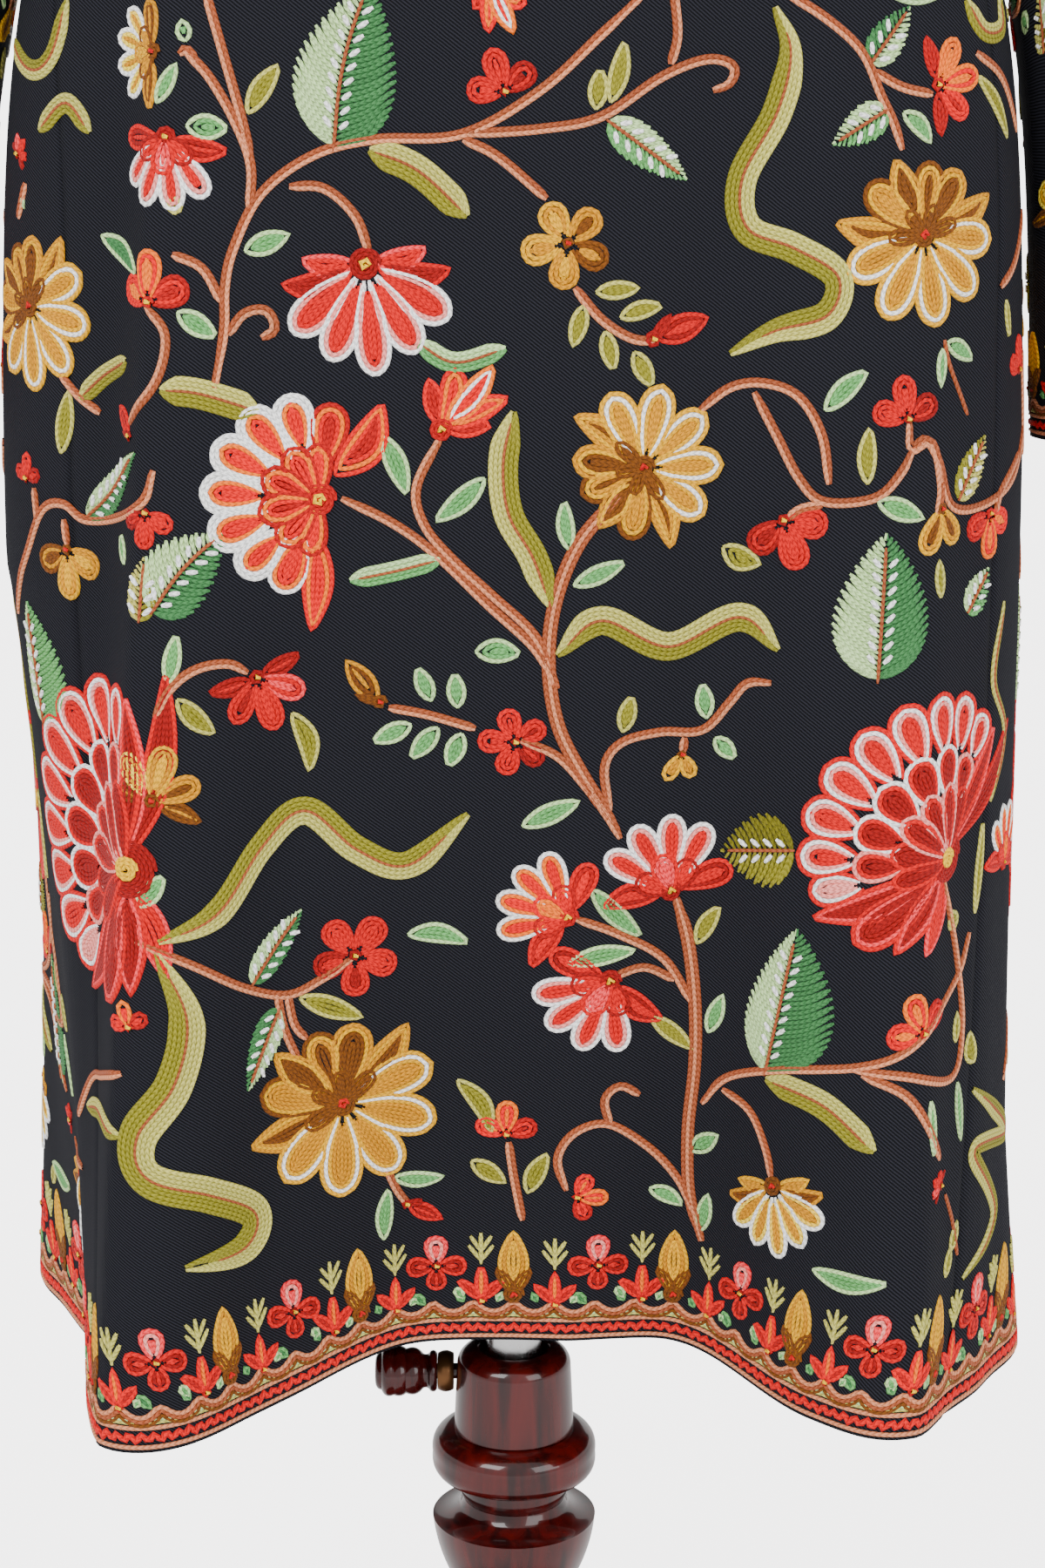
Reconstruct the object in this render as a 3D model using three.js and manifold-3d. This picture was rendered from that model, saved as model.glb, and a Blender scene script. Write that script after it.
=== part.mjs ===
// A pheran, the loose wool over-dress of Kashmir, hanging on a limbless dress form and its turned stand.
// Millimetres, +Z up, front towards -Y. The origin is the centre of the base's underside.
import * as THREE from "three";
import { mergeVertices } from "three/addons/utils/BufferGeometryUtils.js";
import Module from "manifold-3d";

const wasm = await Module();
wasm.setup();

// ---- Cloth ----
const CLOTH = 2; // wool twill with its chain stitching
const SEAM_GAP = 0.3;
const HEM_Z = 348;
const HEM_RISE = 15; // the hem's lift where the front falls in towards the pole
const ARMPIT_Z = 1190;
const NECK_POINT_Z = 1428;
const SHOULDER_Y = 10; // the shoulder seam lies a little behind the middle
const SHOULDER_HALF = 245;
const SHOULDER_FALL = 0.4; // drop of the shoulder for each unit outwards
const ARMHOLE_HALF_DEPTH = 62;
const FRONT_NECK_DROP = 100;
const BACK_NECK_DROP = 26;

// Widths of the cut pieces. The back takes the rest of the way round.
const FRONT_WIDTH = { armpit: 510, hem: 570 };
const GORE_WIDTH = { armpit: 50, hem: 356 };
const FRONT_SHIFT = 10; // the worn front sits a little to the right below the armpits

// Level sections of the body: a squared oval, its front narrower than its back by the narrowing.
const SECTIONS = [
  { height: 330, halfWidth: 284, front: 146, back: 214, squareness: 4.0, narrowing: 0.12 },
  { height: 460, halfWidth: 281, front: 140, back: 200, squareness: 3.6, narrowing: 0.1 },
  { height: 600, halfWidth: 278, front: 134, back: 178, squareness: 3.2, narrowing: 0.08 },
  { height: 760, halfWidth: 276, front: 128, back: 150, squareness: 2.9, narrowing: 0.05 },
  { height: 900, halfWidth: 273, front: 124, back: 131, squareness: 2.6, narrowing: 0.02 },
  { height: 1050, halfWidth: 263, front: 121, back: 122, squareness: 2.4, narrowing: 0 },
  { height: 1190, halfWidth: 238, front: 117, back: 117, squareness: 2.2, narrowing: 0 },
];

// Folds that run up the cloth. hem and high give its place there: x on the front and back, y on the sides.
// depth goes outwards at the hem and dies away at the top; low and up are the run-outs to either hand.
const FOLDS = {
  front: [
    { name: "hollow", hem: 8, high: 20, low: 128, up: 140, depth: -100, top: 880, fade: 1.5, blunt: 4 },
    { name: "left ridge", hem: -218, high: -163, low: 12, up: 60, depth: 40, top: 1230, fade: 0.55 },
    { name: "right ridge", hem: 214, high: 214, low: 60, up: 17, depth: 24, top: 960, fade: 0.6 },
    { name: "right trough", hem: 92, high: 118, low: 30, up: 34, depth: -12, top: 1300, fade: 0.3 },
    { name: "left trough", hem: -140, high: -104, low: 26, up: 30, depth: -13, top: 820, fade: 0.5 },
  ],
  back: [
    { name: "middle ridge", hem: -14, high: -6, low: 60, up: 52, depth: 30, top: 1000, fade: 0.9 },
    { name: "left trough", hem: -128, high: -92, low: 38, up: 44, depth: -52, top: 1040, fade: 1.1 },
    { name: "right trough", hem: 118, high: 84, low: 46, up: 36, depth: -46, top: 1010, fade: 1.1 },
    { name: "left ridge", hem: -214, high: -170, low: 30, up: 44, depth: 22, top: 1060, fade: 0.7 },
    { name: "right ridge", hem: 206, high: 160, low: 40, up: 30, depth: 24, top: 980, fade: 0.7 },
  ],
  left: [
    { name: "side trough", hem: -40, high: -30, low: 60, up: 96, depth: -40, top: 800, fade: 0.8 },
    { name: "rear trough", hem: 128, high: 60, low: 36, up: 44, depth: -5, top: 720, fade: 0.8 },
  ],
  right: [
    { name: "side trough", hem: 66, high: 40, low: 40, up: 46, depth: -20, top: 760, fade: 0.8 },
    { name: "hem flick", hem: -26, high: -26, low: 34, up: 34, depth: 9, top: 480, fade: 1 },
    { name: "rear ridge", hem: 150, high: 70, low: 40, up: 34, depth: 16, top: 700, fade: 0.8 },
  ],
};
const FACE_SIGN = { front: -1, back: 1, left: -1, right: 1 };

// ---- Sleeves ----
const CUFF_Z = 862;
const CUFF_SLANT = 14; // the outer edge of the cuff hangs lower
const SLEEVE_STATIONS = [
  { along: 0, clear: 2.8, width: 8, halfDepth: 60, back: 8 },
  { along: 0.25, clear: 4, width: 78, halfDepth: 54, back: 14 },
  { along: 0.6, clear: 6, width: 122, halfDepth: 42, back: 24 },
  { along: 1, clear: 8, width: 146, halfDepth: 40, back: 30 },
];
const LEFT_SLEEVE_SWING = 13; // how much further out the left cuff hangs
const SLEEVE_FOLDS = 3;
const SLEEVE_FOLD_DEPTH = 5;
const SLEEVE_GAP = 1.7;
const UNDERARM_LIFT = 1.8; // the underarm seam stands off the gore's top
const UNDERARM_CLEAR = 3; // and then off the body below it
const UNDERARM_EASE = 0.12; // share of the sleeve's length over which it moves off
const SLEEVE_SETTLED = 0.35; // and over which the armhole's shape turns into the tube's
const NECKBAND = { height: 24, lean: 4, gap: 1.5, inset: 1.3 };

// ---- Dress form ----
const FORM_SECTIONS = [
  { height: 800, halfWidth: 152, front: 88, back: 90, middle: 0 },
  { height: 812, halfWidth: 160, front: 94, back: 96, middle: 0 },
  { height: 870, halfWidth: 166, front: 97, back: 100, middle: 0 },
  { height: 960, halfWidth: 150, front: 86, back: 88, middle: 0 },
  { height: 1050, halfWidth: 130, front: 78, back: 78, middle: 0 },
  { height: 1130, halfWidth: 148, front: 92, back: 84, middle: 0 },
  { height: 1190, halfWidth: 162, front: 100, back: 90, middle: 0 },
  { height: 1260, halfWidth: 174, front: 90, back: 90, middle: 2 },
  { height: 1330, halfWidth: 180, front: 74, back: 74, middle: 8 },
  { height: 1365, halfWidth: 175, front: 58, back: 60, middle: 10 },
  { height: 1386, halfWidth: 156, front: 44, back: 48, middle: 10 },
  { height: 1398, halfWidth: 126, front: 38, back: 42, middle: 10 },
  { height: 1408, halfWidth: 96, front: 36, back: 42, middle: 10 },
  { height: 1419, halfWidth: 73, front: 40, back: 44, middle: 10 },
  { height: 1436, halfWidth: 60, front: 48, back: 50, middle: 10 },
  { height: 1480, halfWidth: 56, front: 52, back: 52, middle: 10 },
  { height: 1494, halfWidth: 48, front: 45, back: 45, middle: 10 },
];
const FORM_TOP_Z = 1500;
const FORM_SQUARENESS = 2.3;
const FORM_SIDES = 32;
const POLE_SOCKET = { radius: 17, top: 1000 };

// ---- Stand ----
const POLE = { radius: 16, bottom: 70, top: 996 };
const BORE_RADIUS = 16.6;
const COLLAR = { bottom: 288, top: 338, radius: 34.8, topRadius: 33, round: 10, mouth: 21, recess: 4 };
const BASE = { radius: 190, foot: 14, step: 7, crown: 26, top: 40 };
// The column's turned outline upwards: radius and height, with the bow of the stretch that leads there.
const COLUMN_OUTLINE = [
  { radius: 74, height: 40.3, bow: 0 },
  { radius: 70, height: 48, bow: 2 },
  { radius: 44, height: 62, bow: -6 },
  { radius: 40, height: 70, bow: 1 },
  { radius: 44, height: 80, bow: 3 },
  { radius: 25, height: 126, bow: -6 },
  { radius: 28, height: 134, bow: 3 },
  { radius: 36, height: 196, bow: -3 },
  { radius: 47.6, height: 234, bow: 2 },
  { radius: 31, height: 240, bow: -2 },
  { radius: 29.5, height: 245, bow: 0 },
  { radius: 31.5, height: 257, bow: 1 },
  { radius: 38, height: 259.5, bow: 0 },
  { radius: 47.4, height: 273.5, bow: 4 },
  { radius: 38, height: 287.7, bow: 4 },
];
const KNOB = { z: 319, y: 8, shank: 4.5, ferruleRadius: 10.5, ferrule: 9, length: 36, radius: 14 };
const SCREW = { clear: 0.5, tip: 1.5 }; // its hole's play, and how far it stops short of the bore

// ---- How finely the surfaces are divided ----
const PANEL_COLUMNS = 40;
const NECK_COLUMNS = 7; // columns from the middle to the neck point
const NECK_HALF = (SHOULDER_HALF * NECK_COLUMNS) / (PANEL_COLUMNS / 2);
const SKIRT_ROWS = 13;
const YOKE_ROWS = 5;
const GORE_COLUMNS = 11;
const SLEEVE_SIDES = 22;
const SLEEVE_ROWS = 9;
const UNDERARM_TURN = (2 * Math.PI) / SLEEVE_SIDES; // the gore's top takes one side each way
const SECTION_SAMPLES = 1440;
const NORMAL_STEP = 0.5;
const ROUND = 26;
const BOW_STEPS = 3;

const COLOURS = {
  wool: { color: 0x16181e, roughness: 0.95, metalness: 0 },
  form: { color: 0xe6ddca, roughness: 0.85, metalness: 0 },
  mahogany: { color: 0x4a1210, roughness: 0.2, metalness: 0 },
  steel: { color: 0xb9bcc0, roughness: 0.25, metalness: 1 },
  ferrule: { color: 0x7a5a34, roughness: 0.4, metalness: 0.6 },
};

const clamp01 = (v) => Math.min(1, Math.max(0, v));
const mix = (a, b, t) => a + (b - a) * t;
const ease = (t) => clamp01(t) ** 2 * (3 - 2 * clamp01(t));

// A table's columns as smooth functions of its first column.
function smoothTable(rows, key) {
  const columns = Object.keys(rows[0]).filter((name) => name !== key);
  const at = rows.map((row) => row[key]);
  const values = rows.flatMap((row) => columns.map((name) => row[name]));
  const curve = new THREE.CubicInterpolant(at, values, columns.length);
  return (position) => {
    const found = curve.evaluate(Math.min(at.at(-1), Math.max(at[0], position)));
    return Object.fromEntries(columns.map((name, i) => [name, found[i]]));
  };
}

const sectionAt = smoothTable(SECTIONS, "height");
const sleeveAt = smoothTable(SLEEVE_STATIONS, "along");
const formAt = smoothTable(FORM_SECTIONS, "height");

// How far a fold pushes the cloth outwards at a place along its face and a height.
function foldPush(fold, place, z) {
  const up = (z - HEM_Z) / (fold.top - HEM_Z);
  if (up >= 1) return 0;
  const from = place - mix(fold.hem, fold.high, up);
  const reach = from < 0 ? fold.low : fold.up;
  const strength = Math.min(1, 1 - up) ** fold.fade;
  return fold.depth * strength * Math.exp(-(Math.abs(from / reach) ** (fold.blunt ?? 2)));
}

const pushOn = (face, place, z) =>
  FACE_SIGN[face] * FOLDS[face].reduce((sum, fold) => sum + foldPush(fold, place, z), 0);

const power = (v, exponent) => Math.sign(v) * Math.abs(v) ** exponent;

// The body's closed section at a height, from the middle of the back towards the left side.
// Side folds fade out towards the faces, and face folds towards the sides.
const sectionCache = new Map();
function sectionLoop(z) {
  const key = z.toFixed(4);
  if (sectionCache.has(key)) return sectionCache.get(key);
  const row = sectionAt(z);
  const points = [];
  for (let i = 0; i <= SECTION_SAMPLES; i++) {
    const turn = Math.PI / 2 + (2 * Math.PI * i) / SECTION_SAMPLES;
    const c = power(Math.cos(turn), 2 / row.squareness);
    const s = power(Math.sin(turn), 2 / row.squareness);
    const y = s * (s < 0 ? row.front : row.back);
    const side = c < 0 ? "left" : "right";
    const push = pushOn(side, y, z) * ease(Math.abs(c) * 2 - 1);
    const x = row.halfWidth * c * (1 + row.narrowing * s) + push;
    const face = s < 0 ? "front" : "back";
    points.push([x, y + pushOn(face, x, z) * ease(Math.abs(s) * 2.2 - 0.3)]);
  }
  const length = [0];
  for (let i = 1; i < points.length; i++) {
    const step = [points[i][0] - points[i - 1][0], points[i][1] - points[i - 1][1]];
    length.push(length[i - 1] + Math.hypot(...step));
  }
  const loop = { points, length, around: length.at(-1), middle: lengthAtFrontMiddle(points, length) };
  sectionCache.set(key, loop);
  return loop;
}

// The running length where the section crosses the middle of the front.
function lengthAtFrontMiddle(points, length) {
  const i = points.findIndex(([x, y], k) => k > 0 && y < 0 && points[k - 1][0] < 0 && x >= 0);
  const share = -points[i - 1][0] / (points[i][0] - points[i - 1][0]);
  return mix(length[i - 1], length[i], share);
}

// The point of the section at a length measured from the middle of the front, positive to the right.
function onSection(z, across) {
  const loop = sectionLoop(z);
  const want = (((loop.middle + across) % loop.around) + loop.around) % loop.around;
  let low = 0;
  let high = loop.length.length - 1;
  while (high - low > 1) {
    const half = (low + high) >> 1;
    if (loop.length[half] <= want) low = half;
    else high = half;
  }
  const t = (want - loop.length[low]) / (loop.length[high] - loop.length[low]);
  const [a, b] = [loop.points[low], loop.points[high]];
  return new THREE.Vector3(mix(a[0], b[0], t), mix(a[1], b[1], t), z);
}

const fall = (z) => (ARMPIT_Z - z) / (ARMPIT_Z - HEM_Z);
const goreWidth = (z) => mix(GORE_WIDTH.armpit, GORE_WIDTH.hem, fall(z));
const frontHalf = (z) => mix(FRONT_WIDTH.armpit, FRONT_WIDTH.hem, fall(z) ** 2) / 2;
const frontShift = (z) => FRONT_SHIFT * ease(4 * fall(z));
const shoulderZ = (x) => NECK_POINT_Z - SHOULDER_FALL * (Math.abs(x) - NECK_HALF);

// Where the front and back panels lie: c runs across from -1 to 1, z is the height on the skirt.
const panelSkirt = {
  front: (c, z) => onSection(z, frontShift(z) + c * frontHalf(z)),
  back: (c, z) => {
    const { around } = sectionLoop(z);
    const half = around / 2 - frontHalf(z) - goreWidth(z);
    return onSection(z, frontShift(z) + around / 2 - c * half);
  },
};

// The yoke turns over from the upright skirt at the armpit to the shoulder seam, q from 0 to 1.
function panelYoke(face, c, q) {
  const foot = panelSkirt[face](c, ARMPIT_Z);
  const x = mix(foot.x, c * SHOULDER_HALF, q);
  const turn = (q * Math.PI) / 2;
  const opening = FACE_SIGN[face] * ARMHOLE_HALF_DEPTH * Math.abs(c) ** 6 * Math.sin(q * Math.PI);
  const y = mix(SHOULDER_Y, foot.y, Math.cos(turn)) + opening;
  return new THREE.Vector3(x, y, mix(ARMPIT_Z, shoulderZ(c * SHOULDER_HALF), Math.sin(turn)));
}

// How far up the yoke a column goes: to the shoulder seam, or to the neckline between the neck points.
function yokeEnd(face, c) {
  const x = Math.abs(c) * SHOULDER_HALF;
  if (x >= NECK_HALF - 1e-6) return 1;
  const drop = face === "front" ? FRONT_NECK_DROP : BACK_NECK_DROP;
  const height = NECK_POINT_Z - drop * Math.cos((x / NECK_HALF) * (Math.PI / 2));
  return (Math.asin((height - ARMPIT_Z) / (shoulderZ(x) - ARMPIT_Z)) * 2) / Math.PI;
}

// The hem's height below a place on the front, lifted where the cloth falls in.
function hemHeight(face, c) {
  if (face !== "front") return HEM_Z;
  return HEM_Z + HEM_RISE * Math.exp(-(Math.abs(c / 0.5) ** 4));
}

const normalOf = (place, u, v, du, dv) =>
  new THREE.Vector3()
    .subVectors(place(u + du, v), place(u - du, v))
    .cross(new THREE.Vector3().subVectors(place(u, v + dv), place(u, v - dv)))
    .normalize();

// A wall of cloth over a grid of middle points and outward normals, closed round its edges.
function wall(rows, closed = false) {
  const across = rows[0].length;
  const span = closed ? across : across - 1;
  const positions = [];
  for (const side of [0.5, -0.5])
    for (const row of rows)
      for (const { point, normal } of row)
        positions.push(...point.clone().addScaledVector(normal, CLOTH * side).toArray());
  const inner = rows.length * across;
  const at = (layer, r, c) => layer * inner + r * across + (c % across);
  const faces = [];
  const quad = (a, b, c, d) => faces.push(a, b, c, a, c, d);
  for (let r = 0; r < rows.length - 1; r++)
    for (let c = 0; c < span; c++) {
      quad(at(0, r, c), at(0, r, c + 1), at(0, r + 1, c + 1), at(0, r + 1, c));
      quad(at(1, r, c), at(1, r + 1, c), at(1, r + 1, c + 1), at(1, r, c + 1));
    }
  const last = rows.length - 1;
  for (let c = 0; c < span; c++) {
    quad(at(0, 0, c), at(1, 0, c), at(1, 0, c + 1), at(0, 0, c + 1));
    quad(at(0, last, c), at(0, last, c + 1), at(1, last, c + 1), at(1, last, c));
  }
  if (!closed)
    for (let r = 0; r < last; r++) {
      quad(at(0, r, 0), at(0, r + 1, 0), at(1, r + 1, 0), at(1, r, 0));
      quad(at(0, r, span), at(1, r, span), at(1, r + 1, span), at(0, r + 1, span));
    }
  return new THREE.BufferGeometry()
    .setAttribute("position", new THREE.Float32BufferAttribute(positions, 3))
    .setIndex(faces);
}

// Front or back panel: skirt rows from the hem to the armpit, then yoke rows to the shoulder or neck.
function panelGeometry(face) {
  const flip = face === "front" ? 1 : -1; // the back's columns run the other way round the body
  const trim = (c) => c * (1 - SEAM_GAP / FRONT_WIDTH.armpit);
  const cell = (place, u, v, dv) => ({
    point: place(u, v),
    normal: normalOf(place, u, v, (flip * NORMAL_STEP) / FRONT_WIDTH.armpit, dv),
  });
  const rows = [];
  const columns = Array.from({ length: PANEL_COLUMNS + 1 }, (_, i) => flip * ((2 * i) / PANEL_COLUMNS - 1));
  for (let r = 0; r <= SKIRT_ROWS; r++)
    rows.push(
      columns.map((c) =>
        cell(panelSkirt[face], trim(c), mix(hemHeight(face, c), ARMPIT_Z, r / SKIRT_ROWS), NORMAL_STEP),
      ),
    );
  const yoke = (c, q) => panelYoke(face, c, q);
  for (let r = 1; r <= YOKE_ROWS; r++)
    rows.push(
      columns.map((c) => {
        const end = yokeEnd(face, c);
        const last = end === 1 ? 1 - SEAM_GAP / ARMHOLE_HALF_DEPTH / 4 : end;
        return cell(yoke, trim(c), (last * r) / YOKE_ROWS, NORMAL_STEP / 200);
      }),
    );
  return wall(rows);
}

// Side gore: a long wedge from the armpit to the hem between the front and back panels.
function goreGeometry(side) {
  const place = (share, z) => {
    const across = frontHalf(z) + SEAM_GAP / 2 + share * (goreWidth(z) - SEAM_GAP);
    return onSection(z, frontShift(z) + side * across);
  };
  const rows = [];
  for (let r = 0; r <= SKIRT_ROWS; r++) {
    const z = mix(HEM_Z, ARMPIT_Z, r / SKIRT_ROWS);
    rows.push(
      Array.from({ length: GORE_COLUMNS + 1 }, (_, i) => {
        const share = side > 0 ? i / GORE_COLUMNS : 1 - i / GORE_COLUMNS;
        const step = (side * NORMAL_STEP) / goreWidth(z);
        return { point: place(share, z), normal: normalOf(place, share, z, step, NORMAL_STEP) };
      }),
    );
  }
  return wall(rows);
}

// The armhole's edge, turning from the shoulder down the front, along the gore's top and up the back.
function armholeEdge(side, turn) {
  const fromArmpit = turn - Math.PI;
  if (Math.abs(fromArmpit) < UNDERARM_TURN) {
    const share = (1 + fromArmpit / UNDERARM_TURN) / 2;
    return onSection(ARMPIT_Z, side * (FRONT_WIDTH.armpit / 2 + share * GORE_WIDTH.armpit));
  }
  const face = fromArmpit < 0 ? "front" : "back";
  const q = (Math.abs(fromArmpit) - UNDERARM_TURN) / (Math.PI - UNDERARM_TURN);
  return panelYoke(face, side, q);
}

// Sleeve: a hanging tube from the armhole to the cuff, its inner side clear of the body.
function sleevePoint(side, turn, along) {
  const edge = armholeEdge(side, turn);
  const inward = (1 - Math.cos(turn)) / 2;
  const station = sleeveAt(along);
  const z = mix(edge.z, CUFF_Z - CUFF_SLANT * (1 - inward), along);
  const bodyEdge = sectionAt(Math.min(z, ARMPIT_Z)).halfWidth;
  const underarm = inward ** 4;
  const clear = UNDERARM_CLEAR * underarm * ease(along / UNDERARM_EASE);
  const seam = Math.abs(edge.x) - sectionAt(ARMPIT_Z).halfWidth + SLEEVE_GAP;
  const start = seam + UNDERARM_LIFT * underarm + clear;
  const swing = side < 0 ? LEFT_SLEEVE_SWING * along ** 2 : 0;
  const hang = station.clear + swing + clear + station.width * (1 - inward);
  const settled = ease(along / SLEEVE_SETTLED);
  const wave = Math.cos(turn * SLEEVE_FOLDS + along * 2) * Math.sin(turn) ** 2;
  const depth = station.halfDepth + SLEEVE_FOLD_DEPTH * ease(along * 2) * wave;
  const y = mix(edge.y, station.back - depth * Math.sin(turn), settled);
  return new THREE.Vector3(side * (bodyEdge + mix(start, hang, settled)), y, z);
}

function sleeveGeometry(side) {
  const rows = [];
  for (let r = 0; r <= SLEEVE_ROWS; r++) {
    const along = 1 - r / SLEEVE_ROWS;
    rows.push(
      Array.from({ length: SLEEVE_SIDES }, (_, i) => {
        const turn = (2 * Math.PI * (side > 0 ? i : (SLEEVE_SIDES - i) % SLEEVE_SIDES)) / SLEEVE_SIDES;
        return { point: sleevePoint(side, turn, along), normal: sleeveNormal(side, turn, along) };
      }),
    );
  }
  return wall(rows, true);
}

// The tube's outward direction, measured a little way inside the ends where the formula stops.
function sleeveNormal(side, turn, along) {
  const [turnStep, alongStep] = [0.02, 0.01];
  const at = (t, a) => sleevePoint(side, (t + 2 * Math.PI) % (2 * Math.PI), a);
  const inside = Math.min(1 - alongStep, Math.max(alongStep, along));
  const round = at(turn + turnStep, inside).sub(at(turn - turnStep, inside));
  const down = at(turn, inside + alongStep).sub(at(turn, inside - alongStep));
  return down.cross(round).multiplyScalar(side).normalize();
}

// Neckband: a narrow stand round the neckline.
function neckbandGeometry() {
  const edges = [];
  for (let i = -NECK_COLUMNS; i < NECK_COLUMNS; i++) edges.push(["front", i]);
  for (let i = NECK_COLUMNS; i > -NECK_COLUMNS; i--) edges.push(["back", i]);
  const rows = [0, 1].map((up) =>
    edges.map(([face, i]) => {
      const c = (2 * i) / PANEL_COLUMNS;
      const edge = panelYoke(face, c, yokeEnd(face, c));
      const outward = new THREE.Vector3(edge.x, edge.y - SHOULDER_Y, 0).normalize();
      const point = edge.addScaledVector(outward, -(NECKBAND.inset + NECKBAND.lean * up));
      point.z += NECKBAND.gap + NECKBAND.height * up;
      return { point, normal: outward };
    }),
  );
  return wall(rows, true);
}

// The dress form: oval sections closed at the hips and the neck, with a socket for the pole.
function formGeometry() {
  const sides = FORM_SIDES;
  const heights = FORM_SECTIONS.map((row) => row.height);
  const rings = heights.map((height) => {
    const row = formAt(height);
    return Array.from({ length: sides }, (_, i) => {
      const turn = (2 * Math.PI * i) / sides;
      const c = power(Math.cos(turn), 2 / FORM_SQUARENESS);
      const s = power(Math.sin(turn), 2 / FORM_SQUARENESS);
      return [row.halfWidth * c, row.middle + s * (s < 0 ? row.front : row.back), height];
    });
  });
  const positions = rings.flat(2);
  const bottom = positions.length / 3;
  positions.push(0, 0, heights[0], 0, FORM_SECTIONS.at(-1).middle, FORM_TOP_Z);
  const faces = [];
  for (let r = 0; r < rings.length - 1; r++)
    for (let i = 0; i < sides; i++) {
      const [a, b] = [r * sides + i, r * sides + ((i + 1) % sides)];
      faces.push(a, b, b + sides, a, b + sides, a + sides);
    }
  const top = (rings.length - 1) * sides;
  for (let i = 0; i < sides; i++) {
    const next = (i + 1) % sides;
    faces.push(bottom, next, i, bottom + 1, top + i, top + next);
  }
  const body = new THREE.BufferGeometry()
    .setAttribute("position", new THREE.Float32BufferAttribute(positions, 3))
    .setIndex(faces);
  const length = POLE_SOCKET.top - heights[0] + 2;
  const socket = new THREE.CylinderGeometry(POLE_SOCKET.radius, POLE_SOCKET.radius, length, 24)
    .rotateX(Math.PI / 2)
    .translate(0, 0, POLE_SOCKET.top - length / 2);
  return cut(body, socket);
}

function solid(geometry) {
  const bare = geometry.clone();
  for (const name of ["normal", "uv"]) bare.deleteAttribute(name);
  const merged = mergeVertices(bare, 1e-4);
  return new wasm.Manifold(
    new wasm.Mesh({
      numProp: 3,
      vertProperties: merged.attributes.position.array,
      triVerts: new Uint32Array(merged.index.array),
    }),
  );
}

function cut(body, tool) {
  const mesh = solid(body).subtract(solid(tool)).getMesh();
  return new THREE.BufferGeometry()
    .setAttribute("position", new THREE.BufferAttribute(mesh.vertProperties, 3))
    .setIndex(new THREE.BufferAttribute(mesh.triVerts, 1));
}

// A solid turned about +Z from an outline of [radius, height] that runs upwards or closes on itself.
const turned = (outline) =>
  new THREE.LatheGeometry(
    outline.map(([radius, height]) => new THREE.Vector2(radius, height)),
    ROUND,
  ).rotateX(Math.PI / 2);

// Points of an outline whose stretches bow out or in by the given depth.
function bowed(rows) {
  const points = [[rows[0].radius, rows[0].height]];
  for (let i = 1; i < rows.length; i++) {
    const [from, to] = [rows[i - 1], rows[i]];
    const steps = to.bow === 0 ? 1 : BOW_STEPS;
    const run = Math.hypot(to.radius - from.radius, to.height - from.height);
    const out = [(to.height - from.height) / run, (from.radius - to.radius) / run];
    for (let k = 1; k <= steps; k++) {
      const t = k / steps;
      const bulge = to.bow * 4 * t * (1 - t);
      const [radius, height] = [mix(from.radius, to.radius, t), mix(from.height, to.height, t)];
      points.push([radius + out[0] * bulge, height + out[1] * bulge]);
    }
  }
  return points;
}

function columnGeometry() {
  const outline = bowed(COLUMN_OUTLINE);
  const [bottom, top] = [outline[0][1], outline.at(-1)[1]];
  return turned([[BORE_RADIUS, bottom], ...outline, [BORE_RADIUS, top], [BORE_RADIUS, bottom]]);
}

// The clamp collar: a slightly tapered sleeve with a rounded top, bored for the pole and the clamp screw.
function collarGeometry() {
  const { bottom, top, radius, topRadius, round, mouth, recess } = COLLAR;
  const outline = [[BORE_RADIUS, bottom], [radius, bottom]];
  for (let k = 0; k <= BOW_STEPS + 1; k++) {
    const turn = (k / (BOW_STEPS + 1)) * (Math.PI / 2);
    outline.push([mix(mouth, topRadius, Math.cos(turn)), top - round * (1 - Math.sin(turn))]);
  }
  outline.push([mouth, top - recess], [BORE_RADIUS, top - recess], [BORE_RADIUS, bottom]);
  const holeRadius = KNOB.shank + SCREW.clear;
  const screwHole = new THREE.CylinderGeometry(holeRadius, holeRadius, radius, 16)
    .rotateZ(Math.PI / 2)
    .translate(-radius, KNOB.y, KNOB.z);
  return cut(turned(outline), screwHole);
}

function baseGeometry() {
  const { radius, foot, step, crown, top } = BASE;
  const outline = [
    [0, 0],
    [radius, 0],
    [radius, foot],
    [radius - step, foot + step],
    [radius - 2 * step, crown],
    [radius / 2, top - step],
    [radius / 2 - step, top],
    [0, top],
  ];
  return turned(outline);
}

function knobGeometry() {
  const start = COLLAR.radius + KNOB.ferrule + 1;
  const { radius, length, shank, ferruleRadius } = KNOB;
  const tip = BORE_RADIUS + SCREW.tip;
  const outline = [
    [0, tip],
    [shank, tip],
    [shank, start],
    [ferruleRadius, start],
    [ferruleRadius + 1, start + 4],
    [ferruleRadius - 0.5, start + 8],
    [radius - 1, start + length * 0.5],
    [radius, start + length * 0.7],
    [radius - 3, start + length * 0.9],
    [radius / 2, start + length],
    [0, start + length],
  ];
  return turned(outline).rotateY(-Math.PI / 2);
}

function ferruleGeometry() {
  const inside = KNOB.shank + SEAM_GAP;
  const [from, to] = [COLLAR.radius + SEAM_GAP, COLLAR.radius + KNOB.ferrule + 2 * SEAM_GAP];
  const outline = [
    [inside, from],
    [KNOB.ferruleRadius, from],
    [KNOB.ferruleRadius + 1.2, (from + to) / 2],
    [KNOB.ferruleRadius, to],
    [inside, to],
    [inside, from],
  ];
  return turned(outline).rotateY(-Math.PI / 2);
}

function mesh(name, geometry, finish) {
  const made = new THREE.Mesh(geometry, new THREE.MeshStandardMaterial(finish));
  made.name = name;
  return made;
}

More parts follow.
